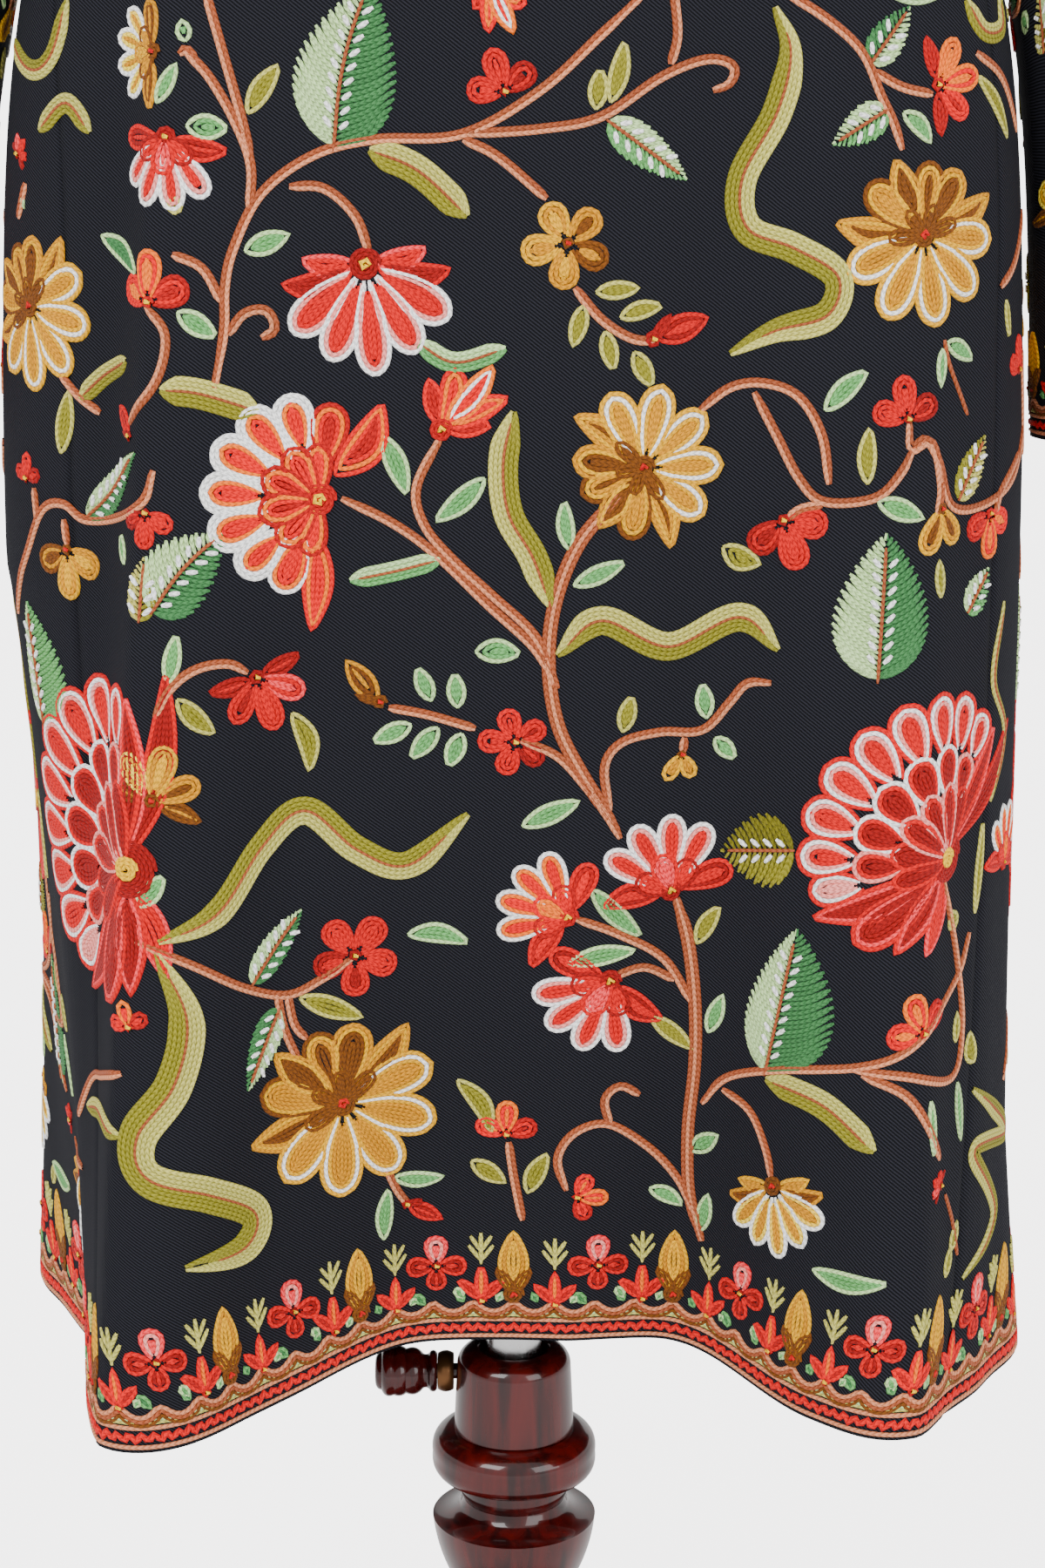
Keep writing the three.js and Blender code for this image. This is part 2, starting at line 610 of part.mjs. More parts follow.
const pheran = new THREE.Group();
pheran.add(
  mesh("front_panel", panelGeometry("front"), COLOURS.wool),
  mesh("back_panel", panelGeometry("back"), COLOURS.wool),
  mesh("gore_left", goreGeometry(-1), COLOURS.wool),
  mesh("gore_right", goreGeometry(1), COLOURS.wool),
  mesh("sleeve_left", sleeveGeometry(-1), COLOURS.wool),
  mesh("sleeve_right", sleeveGeometry(1), COLOURS.wool),
  mesh("neckband", neckbandGeometry(), COLOURS.wool),
);

const form = new THREE.Group();
form.add(mesh("torso", formGeometry(), COLOURS.form));

const pole = mesh(
  "pole",
  turned([[0, POLE.bottom], [POLE.radius, POLE.bottom], [POLE.radius, POLE.top], [0, POLE.top]]),
  COLOURS.steel,
);

const stand = new THREE.Group();
stand.add(
  mesh("base", baseGeometry(), COLOURS.mahogany),
  mesh("column", columnGeometry(), COLOURS.mahogany),
  mesh("collar", collarGeometry(), COLOURS.mahogany),
);

const clamp = new THREE.Group();
clamp.position.set(0, KNOB.y, KNOB.z);
clamp.add(
  mesh("clamp_knob", knobGeometry(), COLOURS.mahogany),
  mesh("clamp_ferrule", ferruleGeometry(), COLOURS.ferrule),
);

const model = new THREE.Group();
model.add(stand, clamp, pole, form, pheran);

export default model;
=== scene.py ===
"""A pheran, the loose wool over-dress of Kashmir, embroidered in chain stitch, on a dress form and stand.

Lengths in the tables are millimetres; a mesh is turned into metres where it is made.
"""

import math

import bpy
import numpy as np
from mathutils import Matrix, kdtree


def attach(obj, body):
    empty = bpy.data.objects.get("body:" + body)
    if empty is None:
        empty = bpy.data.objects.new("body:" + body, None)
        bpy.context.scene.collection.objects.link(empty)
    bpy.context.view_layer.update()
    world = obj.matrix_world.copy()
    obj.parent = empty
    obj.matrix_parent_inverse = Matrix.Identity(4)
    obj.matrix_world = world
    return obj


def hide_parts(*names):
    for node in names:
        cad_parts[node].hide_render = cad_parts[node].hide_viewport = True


bl_info = {
    "name": "Embroidered Pheran",
    "version": (1, 0, 0),
    "blender": (4, 5, 0),
    "location": "View3D > Sidebar > Pheran",
    "description": "Builds a chain-stitched wool pheran on a dress form",
    "category": "Object",
}

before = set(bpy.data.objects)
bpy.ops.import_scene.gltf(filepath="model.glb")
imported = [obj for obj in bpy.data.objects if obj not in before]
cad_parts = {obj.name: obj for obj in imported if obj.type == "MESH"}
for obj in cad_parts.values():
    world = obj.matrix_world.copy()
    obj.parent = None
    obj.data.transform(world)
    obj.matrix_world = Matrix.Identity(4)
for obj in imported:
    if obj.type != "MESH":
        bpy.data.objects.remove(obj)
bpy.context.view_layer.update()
MM = 0.001

# ---- The garment's form ----
HEM_Z = 348
HEM_RISE = 15  # the hem's lift where the front falls in towards the pole
ARMPIT_Z = 1190
NECK_POINT_Z = 1428
SHOULDER_Y = 10
SHOULDER_HALF = 245
SHOULDER_FALL = 0.4
ARMHOLE_HALF_DEPTH = 62
NECK_HALF = SHOULDER_HALF * 7 / 20
NECK_DROP = {"front": 100, "back": 26}
FRONT_WIDTH = {"armpit": 510, "hem": 570}
GORE_WIDTH = {"armpit": 50, "hem": 356}
FRONT_SHIFT = 10
YOKE_RUN = 285  # the cloth's length from the armpit's level to the shoulder seam

# Level sections of the body: a squared oval, its front narrower than its back by the narrowing.
SECTIONS = [
    {"height": 330, "half_width": 284, "front": 146, "back": 214, "squareness": 4.0, "narrowing": 0.12},
    {"height": 460, "half_width": 281, "front": 140, "back": 200, "squareness": 3.6, "narrowing": 0.1},
    {"height": 600, "half_width": 278, "front": 134, "back": 178, "squareness": 3.2, "narrowing": 0.08},
    {"height": 760, "half_width": 276, "front": 128, "back": 150, "squareness": 2.9, "narrowing": 0.05},
    {"height": 900, "half_width": 273, "front": 124, "back": 131, "squareness": 2.6, "narrowing": 0.02},
    {"height": 1050, "half_width": 263, "front": 121, "back": 122, "squareness": 2.4, "narrowing": 0},
    {"height": 1190, "half_width": 238, "front": 117, "back": 117, "squareness": 2.2, "narrowing": 0},
]

# Folds that run up the cloth: face, name, place at the hem and at the top, run-out to the lower and the
# upper side, depth outwards, height of the top, how it fades and how blunt it is.
FOLD_COLUMNS = ("face", "name", "hem", "high", "low", "up", "depth", "top", "fade", "blunt")
FOLDS = [
    ("front", "hollow", 8, 20, 128, 140, -100, 880, 1.5, 4),
    ("front", "left ridge", -218, -163, 12, 60, 40, 1230, 0.55, 2),
    ("front", "right ridge", 214, 214, 60, 17, 24, 960, 0.6, 2),
    ("front", "right trough", 92, 118, 30, 34, -12, 1300, 0.3, 2),
    ("front", "left trough", -140, -104, 26, 30, -13, 820, 0.5, 2),
    ("back", "middle ridge", -14, -6, 60, 52, 30, 1000, 0.9, 2),
    ("back", "left trough", -128, -92, 38, 44, -52, 1040, 1.1, 2),
    ("back", "right trough", 118, 84, 46, 36, -46, 1010, 1.1, 2),
    ("back", "left ridge", -214, -170, 30, 44, 22, 1060, 0.7, 2),
    ("back", "right ridge", 206, 160, 40, 30, 24, 980, 0.7, 2),
    ("left", "side trough", -40, -30, 60, 96, -40, 800, 0.8, 2),
    ("left", "rear trough", 128, 60, 36, 44, -5, 720, 0.8, 2),
    ("right", "side trough", 66, 40, 40, 46, -20, 760, 0.8, 2),
    ("right", "hem flick", -26, -26, 34, 34, 9, 480, 1, 2),
    ("right", "rear ridge", 150, 70, 40, 34, 16, 700, 0.8, 2),
    # Soft creases, too shallow to change the form.
    ("front", "pocket crease", -60, -30, 16, 26, -2.2, 1180, 0.4, 2),
    ("front", "middle crease", 30, 46, 20, 14, 2, 1120, 0.5, 2),
    ("front", "side crease", 168, 176, 12, 18, -2.4, 1180, 0.4, 2),
    ("back", "rear crease", 40, 30, 18, 14, 2.4, 1180, 0.4, 2),
    ("left", "gore crease", 40, 10, 22, 18, -2.2, 1120, 0.4, 2),
    ("right", "gore crease", -66, -30, 20, 18, -2.2, 1120, 0.4, 2),
]
FACE_SIGN = {"front": -1, "back": 1, "left": -1, "right": 1}

SLEEVE_STATIONS = [
    {"along": 0, "clear": 2.8, "width": 8, "half_depth": 60, "back": 8},
    {"along": 0.25, "clear": 4, "width": 78, "half_depth": 54, "back": 14},
    {"along": 0.6, "clear": 6, "width": 122, "half_depth": 42, "back": 24},
    {"along": 1, "clear": 8, "width": 146, "half_depth": 40, "back": 30},
]
CUFF_Z = 862
CUFF_SLANT = 14
LEFT_SLEEVE_SWING = 13
SLEEVE_FOLDS = 3
SLEEVE_FOLD_DEPTH = 5
SLEEVE_GAP = 1.7
UNDERARM_LIFT = 1.8
UNDERARM_CLEAR = 3
UNDERARM_TURN = 2 * math.pi / 22
SLEEVE_RUN = 400  # the flat measures of a sleeve: its length and its width round the arm
SLEEVE_ROUND = 380
NECKBAND = {"height": 24, "lean": 4, "gap": 1.5, "inset": 1.3, "tuck": 1.2, "rows": 7}

FORM_SECTIONS = [
    {"height": 800, "half_width": 152, "front": 88, "back": 90, "middle": 0},
    {"height": 812, "half_width": 160, "front": 94, "back": 96, "middle": 0},
    {"height": 870, "half_width": 166, "front": 97, "back": 100, "middle": 0},
    {"height": 960, "half_width": 150, "front": 86, "back": 88, "middle": 0},
    {"height": 1050, "half_width": 130, "front": 78, "back": 78, "middle": 0},
    {"height": 1130, "half_width": 148, "front": 92, "back": 84, "middle": 0},
    {"height": 1190, "half_width": 162, "front": 100, "back": 90, "middle": 0},
    {"height": 1260, "half_width": 174, "front": 90, "back": 90, "middle": 2},
    {"height": 1330, "half_width": 180, "front": 74, "back": 74, "middle": 8},
    {"height": 1365, "half_width": 175, "front": 58, "back": 60, "middle": 10},
    {"height": 1386, "half_width": 156, "front": 44, "back": 48, "middle": 10},
    {"height": 1398, "half_width": 126, "front": 38, "back": 42, "middle": 10},
    {"height": 1408, "half_width": 96, "front": 36, "back": 42, "middle": 10},
    {"height": 1419, "half_width": 73, "front": 40, "back": 44, "middle": 10},
    {"height": 1436, "half_width": 60, "front": 48, "back": 50, "middle": 10},
    {"height": 1480, "half_width": 56, "front": 52, "back": 52, "middle": 10},
    {"height": 1494, "half_width": 48, "front": 45, "back": 45, "middle": 10},
    {"height": 1499, "half_width": 36, "front": 34, "back": 34, "middle": 10},
]
FORM_SQUARENESS = 2.3

# ---- The stand: turned outlines as radius, height and the bow of the stretch that leads there ----
COLUMN = [
    (74, 40.3, 0), (70, 48, 2), (44, 62, -6), (40, 70, 1), (44, 80, 3), (25, 126, -6), (28, 134, 3),
    (36, 196, -3), (47.6, 234, 2), (31, 240, -2), (29.5, 245, 0), (31.5, 257, 1), (38, 259.5, 0),
    (47.4, 273.5, 4), (38, 287.7, 4),
]
POLE = {"radius": 16, "bottom": 70, "top": 996}
BORE_RADIUS = 16.6
COLLAR = {"bottom": 288, "top": 338, "radius": 34.8, "top_radius": 33, "round": 10, "mouth": 21, "recess": 4}
BASE_OUTLINE = [(190, 0, 0), (190, 14, 0), (183, 21, 2), (176, 26, -1), (95, 33, -2), (88, 40, 2),
    (17, 40, 0)]
KNOB = {"z": 319, "y": 8, "shank": 4.5, "ferrule_radius": 10.5, "ferrule": 9, "length": 36, "radius": 14}

# ---- The camera that the chart of the embroidery was drawn from ----
CAMERA = {"x": 5, "y": -1650, "z": 1050, "pitch": 12.9, "lens": 70, "sensor": 36}
CHART_SIZE = {"width": 1200, "height": 1800}


def ease(t):
    t = np.clip(t, 0, 1)
    return t * t * (3 - 2 * t)


def mix(a, b, t):
    return a + (b - a) * t


def power(v, exponent):
    return np.sign(v) * np.abs(v) ** exponent


def smooth_table(rows, key):
    """A table's columns as smooth functions of its key column, flat beyond its ends."""
    names = [name for name in rows[0] if name != key]
    at = np.array([row[key] for row in rows], float)
    values = np.array([[row[name] for name in names] for row in rows], float)
    last = len(at) - 1

    def look_up(place):
        t = np.clip(np.asarray(place, float), at[0], at[-1])
        high = np.clip(np.searchsorted(at, t, side="right"), 1, last)
        low = high - 1
        before = np.where(low > 0, low - 1, high)
        after = np.where(high < last, high + 1, low)
        half = (at[high] - at[low]) / 2
        wp = half / (at[low] - at[before])
        wn = half / (at[after] - at[high])
        p = (t - at[low]) / (2 * half)
        shares = (
            (-wp * p**3 + 2 * wp * p**2 - wp * p, before),
            ((1 + wp) * p**3 + (-1.5 - 2 * wp) * p**2 + (-0.5 + wp) * p + 1, low),
            ((-1 - wn) * p**3 + (1.5 + wn) * p**2 + 0.5 * p, high),
            (wn * p**3 - wn * p**2, after),
        )
        found = sum(share[..., None] * values[index] for share, index in shares)
        return {name: found[..., i] for i, name in enumerate(names)}

    return look_up


section_at = smooth_table(SECTIONS, "height")
sleeve_at = smooth_table(SLEEVE_STATIONS, "along")
form_at = smooth_table(FORM_SECTIONS, "height")


def push(face, place, z):
    """How far the folds of a face push the cloth outwards."""
    total = np.zeros(np.broadcast(place, z).shape)
    for row in FOLDS:
        fold = dict(zip(FOLD_COLUMNS, row))
        if fold["face"] != face:
            continue
        up = (z - HEM_Z) / (fold["top"] - HEM_Z)
        off = place - mix(fold["hem"], fold["high"], up)
        reach = np.where(off < 0, fold["low"], fold["up"])
        strength = np.clip(1 - up, 0, 1) ** fold["fade"]
        total += fold["depth"] * strength * np.exp(-(np.abs(off / reach) ** fold["blunt"]))
    return FACE_SIGN[face] * total


SECTION_SAMPLES = 1440
FIELD_STEP = 2.5  # spacing of the worked-out places across the cloth
LEVEL_STEP = 4.0  # and up it
FIELD_REACH = 700


def fall(z):
    return (ARMPIT_Z - z) / (ARMPIT_Z - HEM_Z)


def gore_width(z):
    return mix(GORE_WIDTH["armpit"], GORE_WIDTH["hem"], fall(z))


def front_half(z):
    return mix(FRONT_WIDTH["armpit"], FRONT_WIDTH["hem"], fall(z) ** 2) / 2


def front_shift(z):
    return FRONT_SHIFT * ease(4 * fall(z))


def shoulder_z(x):
    return NECK_POINT_Z - SHOULDER_FALL * (np.abs(x) - NECK_HALF)


def section_loops(z):
    """Closed sections of the body at several heights, with their running lengths."""
    row = {name: value[:, None] for name, value in section_at(z).items()}
    level = z[:, None]
    turn = math.pi / 2 + 2 * math.pi * np.arange(SECTION_SAMPLES + 1)[None, :] / SECTION_SAMPLES
    c = power(np.cos(turn), 2 / row["squareness"])
    s = power(np.sin(turn), 2 / row["squareness"])
    y = s * np.where(s < 0, row["front"], row["back"])
    side = np.where(c < 0, push("left", y, level), push("right", y, level))
    x = row["half_width"] * c * (1 + row["narrowing"] * s) + side * ease(np.abs(c) * 2 - 1)
    face = np.where(s < 0, push("front", x, level), push("back", x, level))
    y = y + face * ease(np.abs(s) * 2.2 - 0.3)
    length = np.zeros_like(x)
    length[:, 1:] = np.cumsum(np.hypot(np.diff(x, axis=1), np.diff(y, axis=1)), axis=1)
    return x, y, length


def front_middle(x, y, length):
    """The running length where one section crosses the middle of the front."""
    i = int(np.argmax((y[1:] < 0) & (x[:-1] < 0) & (x[1:] >= 0))) + 1
    return mix(length[i - 1], length[i], -x[i - 1] / (x[i] - x[i - 1]))


class Field:
    """A cloth surface over flat coordinates: across it and up it, evenly spaced."""

    def __init__(self, across, up, points):
        self.across, self.up, self.points = across, up, points
        normal = np.cross(np.gradient(points, axis=1), np.gradient(points, axis=0))
        self.normals = normal / np.maximum(np.linalg.norm(normal, axis=2, keepdims=True), 1e-9)

    def at(self, flat, lift=0.0):
        """Places on the cloth for flat coordinates, lifted outwards."""
        flat = np.asarray(flat, float)
        i = (flat[..., 0] - self.across[0]) / (self.across[1] - self.across[0])
        j = (flat[..., 1] - self.up[0]) / (self.up[1] - self.up[0])
        i = np.clip(i, 0, len(self.across) - 1.001)
        j = np.clip(j, 0, len(self.up) - 1.001)
        a, b = i.astype(int), j.astype(int)
        s, t = (i - a)[..., None], (j - b)[..., None]

        def blend(grid):
            low = mix(grid[b, a], grid[b, a + 1], s)
            return mix(low, mix(grid[b + 1, a], grid[b + 1, a + 1], s), t)

        normal = blend(self.normals)
        normal /= np.maximum(np.linalg.norm(normal, axis=-1, keepdims=True), 1e-9)
        return blend(self.points) + normal * np.asarray(lift)[..., None]


def yoke_points(face, c, q, foot):
    """The yoke turns over from the upright skirt at the armpit to the shoulder seam, q from 0 to 1."""
    turn = q * math.pi / 2
    opening = FACE_SIGN[face] * ARMHOLE_HALF_DEPTH * np.abs(c) ** 6 * np.sin(q * math.pi)
    x = mix(foot[..., 0], c * SHOULDER_HALF, q)
    y = mix(SHOULDER_Y, foot[..., 1], np.cos(turn)) + opening
    z = mix(ARMPIT_Z, shoulder_z(c * SHOULDER_HALF), np.sin(turn))
    return np.stack(np.broadcast_arrays(x, y, z), axis=-1)


def yoke_end(face, c):
    """How far up the yoke the cloth goes: to the shoulder seam, or to the neckline."""
    x = np.abs(c) * SHOULDER_HALF
    height = NECK_POINT_Z - NECK_DROP[face] * np.cos(np.minimum(x / NECK_HALF, 1) * math.pi / 2)
    share = (height - ARMPIT_Z) / (shoulder_z(x) - ARMPIT_Z)
    return np.where(x < NECK_HALF - 1e-6, np.arcsin(np.clip(share, 0, 1)) * 2 / math.pi, 1.0)


def body_fields():
    """The front with both gores, and the back, each over flat coordinates from its own middle."""
    skirt_up = np.arange(HEM_Z - 2 * LEVEL_STEP - 2, ARMPIT_Z + 0.1, LEVEL_STEP)
    skirt_up = np.linspace(skirt_up[0], ARMPIT_Z, len(skirt_up))
    step = skirt_up[1] - skirt_up[0]
    across = np.arange(-FIELD_REACH, FIELD_REACH + 0.1, FIELD_STEP)
    x, y, length = section_loops(skirt_up)
    rows = {"front": [], "back": []}
    round_the_body = []
    for k, z in enumerate(skirt_up):
        around = length[k, -1]
        round_the_body.append(around)
        middle = front_middle(x[k], y[k], length[k])
        half_way = front_shift(z) + around / 2
        for face, place in (("front", across), ("back", half_way + across)):
            want = (middle + place) % around
            px, py = np.interp(want, length[k], x[k]), np.interp(want, length[k], y[k])
            rows[face].append(np.stack([px, py, np.full_like(px, z)], axis=-1))
    yoke_up = np.arange(1, int(YOKE_RUN / step) + 2) * step
    fields = {}
    for face in rows:
        skirt = np.array(rows[face])
        if face == "front":
            half = FRONT_WIDTH["armpit"] / 2
        else:
            half = round_the_body[-1] / 2 - FRONT_WIDTH["armpit"] / 2 - GORE_WIDTH["armpit"]
        c = np.clip(across / half, -1, 1)
        foot_c = np.clip(across, -half, half)
        foot = np.stack([np.interp(foot_c, across, skirt[-1][:, i]) for i in range(3)], axis=-1)
        signed = c if face == "front" else -c
        yoke = [yoke_points(face, signed, min(1.0, rise / YOKE_RUN), foot) for rise in yoke_up]
        points = np.concatenate([skirt, np.array(yoke)])
        up = skirt_up[0] + step * np.arange(len(points))
        fields[face] = Field(across, up, points)
        fields[face].half_at_armpit = half
    levels = np.array(round_the_body)
    return fields, lambda z: np.interp(z, skirt_up, levels)


FIELDS, body_round = body_fields()


def back_half(z):
    return body_round(z) / 2 - front_half(z) - gore_width(z)


def hem_height(across):
    """The hem's height at a place across the front, lifted where the cloth falls in."""
    c = (across - FRONT_SHIFT) / front_half(HEM_Z)
    return HEM_Z + HEM_RISE * np.exp(-(np.abs(c / 0.5) ** 4))


def armhole_edge(side, turn):
    """The armhole, from the shoulder down the front, along the gore's top and up the back."""
    from_armpit = turn - math.pi
    share = (1 + from_armpit / UNDERARM_TURN) / 2
    half, gore = FRONT_WIDTH["armpit"] / 2, GORE_WIDTH["armpit"]
    under = FIELDS["front"].at(np.stack([side * (half + share * gore), np.full_like(share, ARMPIT_Z)], -1))
    q = (np.abs(from_armpit) - UNDERARM_TURN) / (math.pi - UNDERARM_TURN)
    q = np.clip(q, 0, 1)
    ends = {}
    for face in ("front", "back"):
        reach = FIELDS[face].half_at_armpit * side * (1 if face == "front" else -1)
        foot = FIELDS[face].at(np.array([reach, ARMPIT_Z - 1e-3]))
        ends[face] = yoke_points(face, float(side), q, foot)
    edge = np.where((from_armpit < 0)[..., None], ends["front"], ends["back"])
    return np.where((np.abs(from_armpit) < UNDERARM_TURN)[..., None], under, edge)


def sleeve_points(side, turn, along):
    """A hanging tube from the armhole to the cuff, its inner side clear of the body."""
    turn, along = np.broadcast_arrays(np.asarray(turn, float) % (2 * math.pi), along)
    edge = armhole_edge(side, turn)
    inward = (1 - np.cos(turn)) / 2
    station = sleeve_at(along)
    z = mix(edge[..., 2], CUFF_Z - CUFF_SLANT * (1 - inward), along)
    body_edge = section_at(np.minimum(z, ARMPIT_Z))["half_width"]
    clear = UNDERARM_CLEAR * inward**4 * ease(along / 0.12)
    seam = np.abs(edge[..., 0]) - section_at(float(ARMPIT_Z))["half_width"] + SLEEVE_GAP
    start = seam + UNDERARM_LIFT * inward**4 + clear
    swing = LEFT_SLEEVE_SWING * along**2 if side < 0 else 0
    hang = station["clear"] + swing + clear + station["width"] * (1 - inward)
    settled = ease(along / 0.35)
    wave = np.cos(turn * SLEEVE_FOLDS + along * 2) * np.sin(turn) ** 2
    depth = station["half_depth"] + SLEEVE_FOLD_DEPTH * ease(along * 2) * wave
    y = mix(edge[..., 1], station["back"] - depth * np.sin(turn), settled)
    return np.stack([side * (body_edge + mix(start, hang, settled)), y, z], axis=-1)


def sleeve_field(side):
    """A sleeve over flat coordinates: round the arm from its outer middle, and up from the cuff."""
    across = np.linspace(-SLEEVE_ROUND / 2, SLEEVE_ROUND / 2, 121)
    up = np.linspace(0, SLEEVE_RUN, 101)
    turn = -side * across / SLEEVE_ROUND * 2 * math.pi
    along = np.clip(1 - up / SLEEVE_RUN, 0.005, 1)
    return Field(across, up, sleeve_points(side, turn[None, :], along[:, None]))


SLEEVE_FIELDS = {"left": sleeve_field(-1), "right": sleeve_field(1)}


# ---- Meshes ----
CLOTH_OUT = 0.4  # the cloth's outer face off its middle line, under the stitches
CLOTH_IN = -0.8
COLUMNS = {"panel": 112, "gore": 40, "sleeve": 64, "neck": 20}
ROWS = {"skirt": 84, "yoke": 26, "sleeve": 56}
TURNED_SIDES = 112
KNOB_SIDES = 64
SHARP_ANGLE = 38  # edges of turned parts that bend more than this, in degrees, stay crisp
BOW_STEPS = 9
FORM_SIDES = 96
FORM_LEVELS = 90
FORM_BORE = 17
FORM_TOP = 1500
SEAM_DIP = 0.9  # how deep the cloth is turned in at a seam
SEAM_SPREAD = 1.6


def object_of(name, points, faces, material, flat=None):
    """A new mesh object from places in millimetres, with flat coordinates in metres as its UV map."""
    mesh = bpy.data.meshes.new(name)
    faces = np.asarray(faces)
    mesh.vertices.add(len(points))
    mesh.vertices.foreach_set("co", (np.asarray(points, np.float32) * MM).ravel())
    sides = faces.shape[1]
    mesh.loops.add(faces.size)
    mesh.loops.foreach_set("vertex_index", faces.astype(np.int32).ravel())
    mesh.polygons.add(len(faces))
    mesh.polygons.foreach_set("loop_start", np.arange(0, faces.size, sides, dtype=np.int32))
    mesh.polygons.foreach_set("use_smooth", np.ones(len(faces), bool))
    if flat is not None:
        uv = mesh.uv_layers.new(name="UVMap")
        uv.data.foreach_set("uv", (np.asarray(flat, np.float32) * MM)[faces.ravel()].ravel())
    mesh.update(calc_edges=True)
    mesh.validate()
    made = bpy.data.objects.new(name, mesh)
    bpy.context.scene.collection.objects.link(made)
    mesh.materials.append(material)
    return made


def shell(name, points, normals, flat, closed):
    """A thin double layer of wool over a grid of places, closed round its edges."""
    rows, across = points.shape[:2]
    span = across if closed else across - 1
    layers = np.concatenate([(points + normals * off).reshape(-1, 3) for off in (CLOTH_OUT, CLOTH_IN)])
    inner = rows * across
    r, c = np.meshgrid(np.arange(rows - 1), np.arange(span), indexing="ij")
    a, b = (r * across + c).ravel(), (r * across + (c + 1) % across).ravel()
    d, e = a + across, b + across
    faces = [np.stack([a, b, e, d], -1), np.stack([a + inner, d + inner, e + inner, b + inner], -1)]
    c = np.arange(span)
    low, low_next = c, (c + 1) % across
    top, top_next = (rows - 1) * across + low, (rows - 1) * across + low_next
    faces.append(np.stack([low, low + inner, low_next + inner, low_next], -1))
    faces.append(np.stack([top, top_next, top_next + inner, top + inner], -1))
    if not closed:
        r = np.arange(rows - 1) * across
        right = r + across - 1
        faces.append(np.stack([r, r + across, r + across + inner, r + inner], -1))
        faces.append(np.stack([right, right + inner, right + across + inner, right + across], -1))
    flat = np.concatenate([flat.reshape(-1, 2)] * 2)
    wool = stored_material("wool", wool_material, bpy.context.scene.pheran_cloth)
    return object_of(name, layers, np.concatenate(faces), wool, flat)


def ring_faces(rings, sides):
    """Faces that join rings of points, each ring to the next one above it."""
    r, c = np.meshgrid(np.arange(rings - 1), np.arange(sides), indexing="ij")
    a, b = (r * sides + c).ravel(), (r * sides + (c + 1) % sides).ravel()
    return np.stack([a, b, b + sides, a + sides], -1)


def turned(name, outline, material, sides=TURNED_SIDES, middle=(0, 0, 0), toward_left=False):
    """A solid turned about +Z, or about -X, from an outline of radius and height that runs upwards."""
    outline = np.array(outline, float)
    turn = 2 * math.pi * np.arange(sides) / sides
    x = outline[:, 0, None] * np.cos(turn)
    y = outline[:, 0, None] * np.sin(turn)
    z = np.broadcast_to(outline[:, 1, None], x.shape)
    points = np.stack([x, y, z], -1)
    if toward_left:
        points = np.stack([-points[..., 2], points[..., 1], points[..., 0]], -1)
    points = points.reshape(-1, 3) + np.array(middle)
    made = object_of(name, points, ring_faces(len(outline), sides), material)
    made.data.set_sharp_from_angle(angle=math.radians(SHARP_ANGLE))
    return made


def bowed(rows):
    """An outline whose stretches bow out or in by their given depth."""
    points = [rows[0][:2]]
    for (r0, z0, _), (r1, z1, bow) in zip(rows, rows[1:]):
        run = math.hypot(r1 - r0, z1 - z0)
        steps = BOW_STEPS if bow else 1
        for k in range(1, steps + 1):
            t = k / steps
            out = bow * 4 * t * (1 - t) / run
            points.append((mix(r0, r1, t) + (z1 - z0) * out, mix(z0, z1, t) + (r0 - r1) * out))
    return points


# ---- Finishes ----
def linear(colour):
    """A colour as light, from its everyday 0 to 1 value."""
    c = np.asarray(colour, float)
    return tuple(np.where(c <= 0.04045, c / 12.92, ((c + 0.055) / 1.055) ** 2.4))


def group(name, **inputs):
    """A shader node group with its numbers, which gives a height and a shade."""
    made = bpy.data.node_groups.new(name, "ShaderNodeTree")
    for label, default in inputs.items():
        socket = made.interface.new_socket(name=label, in_out="INPUT", socket_type="NodeSocketFloat")
        socket.default_value = default
    for label in ("Height", "Shade"):
        made.interface.new_socket(name=label, in_out="OUTPUT", socket_type="NodeSocketFloat")
    return made, made.nodes.new("NodeGroupInput").outputs, made.nodes.new("NodeGroupOutput").inputs


def put(tree, kind, **inputs):
    """A node with its values set and its sockets linked, by name or by number."""
    node = tree.nodes.new(kind)
    for name, value in inputs.items():
        if name == "settings":
            for key, setting in value.items():
                setattr(node, key, setting)
            continue
        socket = node.inputs[int(name[1:])] if name[0] == "_" else node.inputs[name.replace("_", " ")]
        if isinstance(value, bpy.types.NodeSocket):
            tree.links.new(value, socket)
        else:
            socket.default_value = value
    return node


def maths(tree, operation, a, b=0.0, c=0.0):
    return put(tree, "ShaderNodeMath", settings={"operation": operation}, _0=a, _1=b, _2=c).outputs[0]


def blend_colour(tree, share, a, b):
    node = tree.nodes.new("ShaderNodeMix")
    node.data_type = "RGBA"
    for index, value in ((0, share), (6, a), (7, b)):
        if isinstance(value, bpy.types.NodeSocket):
            tree.links.new(value, node.inputs[index])
        else:
            node.inputs[index].default_value = (*value, 1) if index > 5 and len(value) == 3 else value
    return node.outputs[2]


def noise(tree, place, scale, detail, distortion=0.0):
    made = put(tree, "ShaderNodeTexNoise", Vector=place, Scale=scale, Detail=detail, Distortion=distortion)
    return made.outputs["Fac"]


def spread(tree, value, low, high, least=0.0, most=1.0):
    """A value's range from low to high, stretched to run from least to most."""
    return put(tree, "ShaderNodeMapRange", _0=value, _1=low, _2=high, _3=least, _4=most).outputs[0]


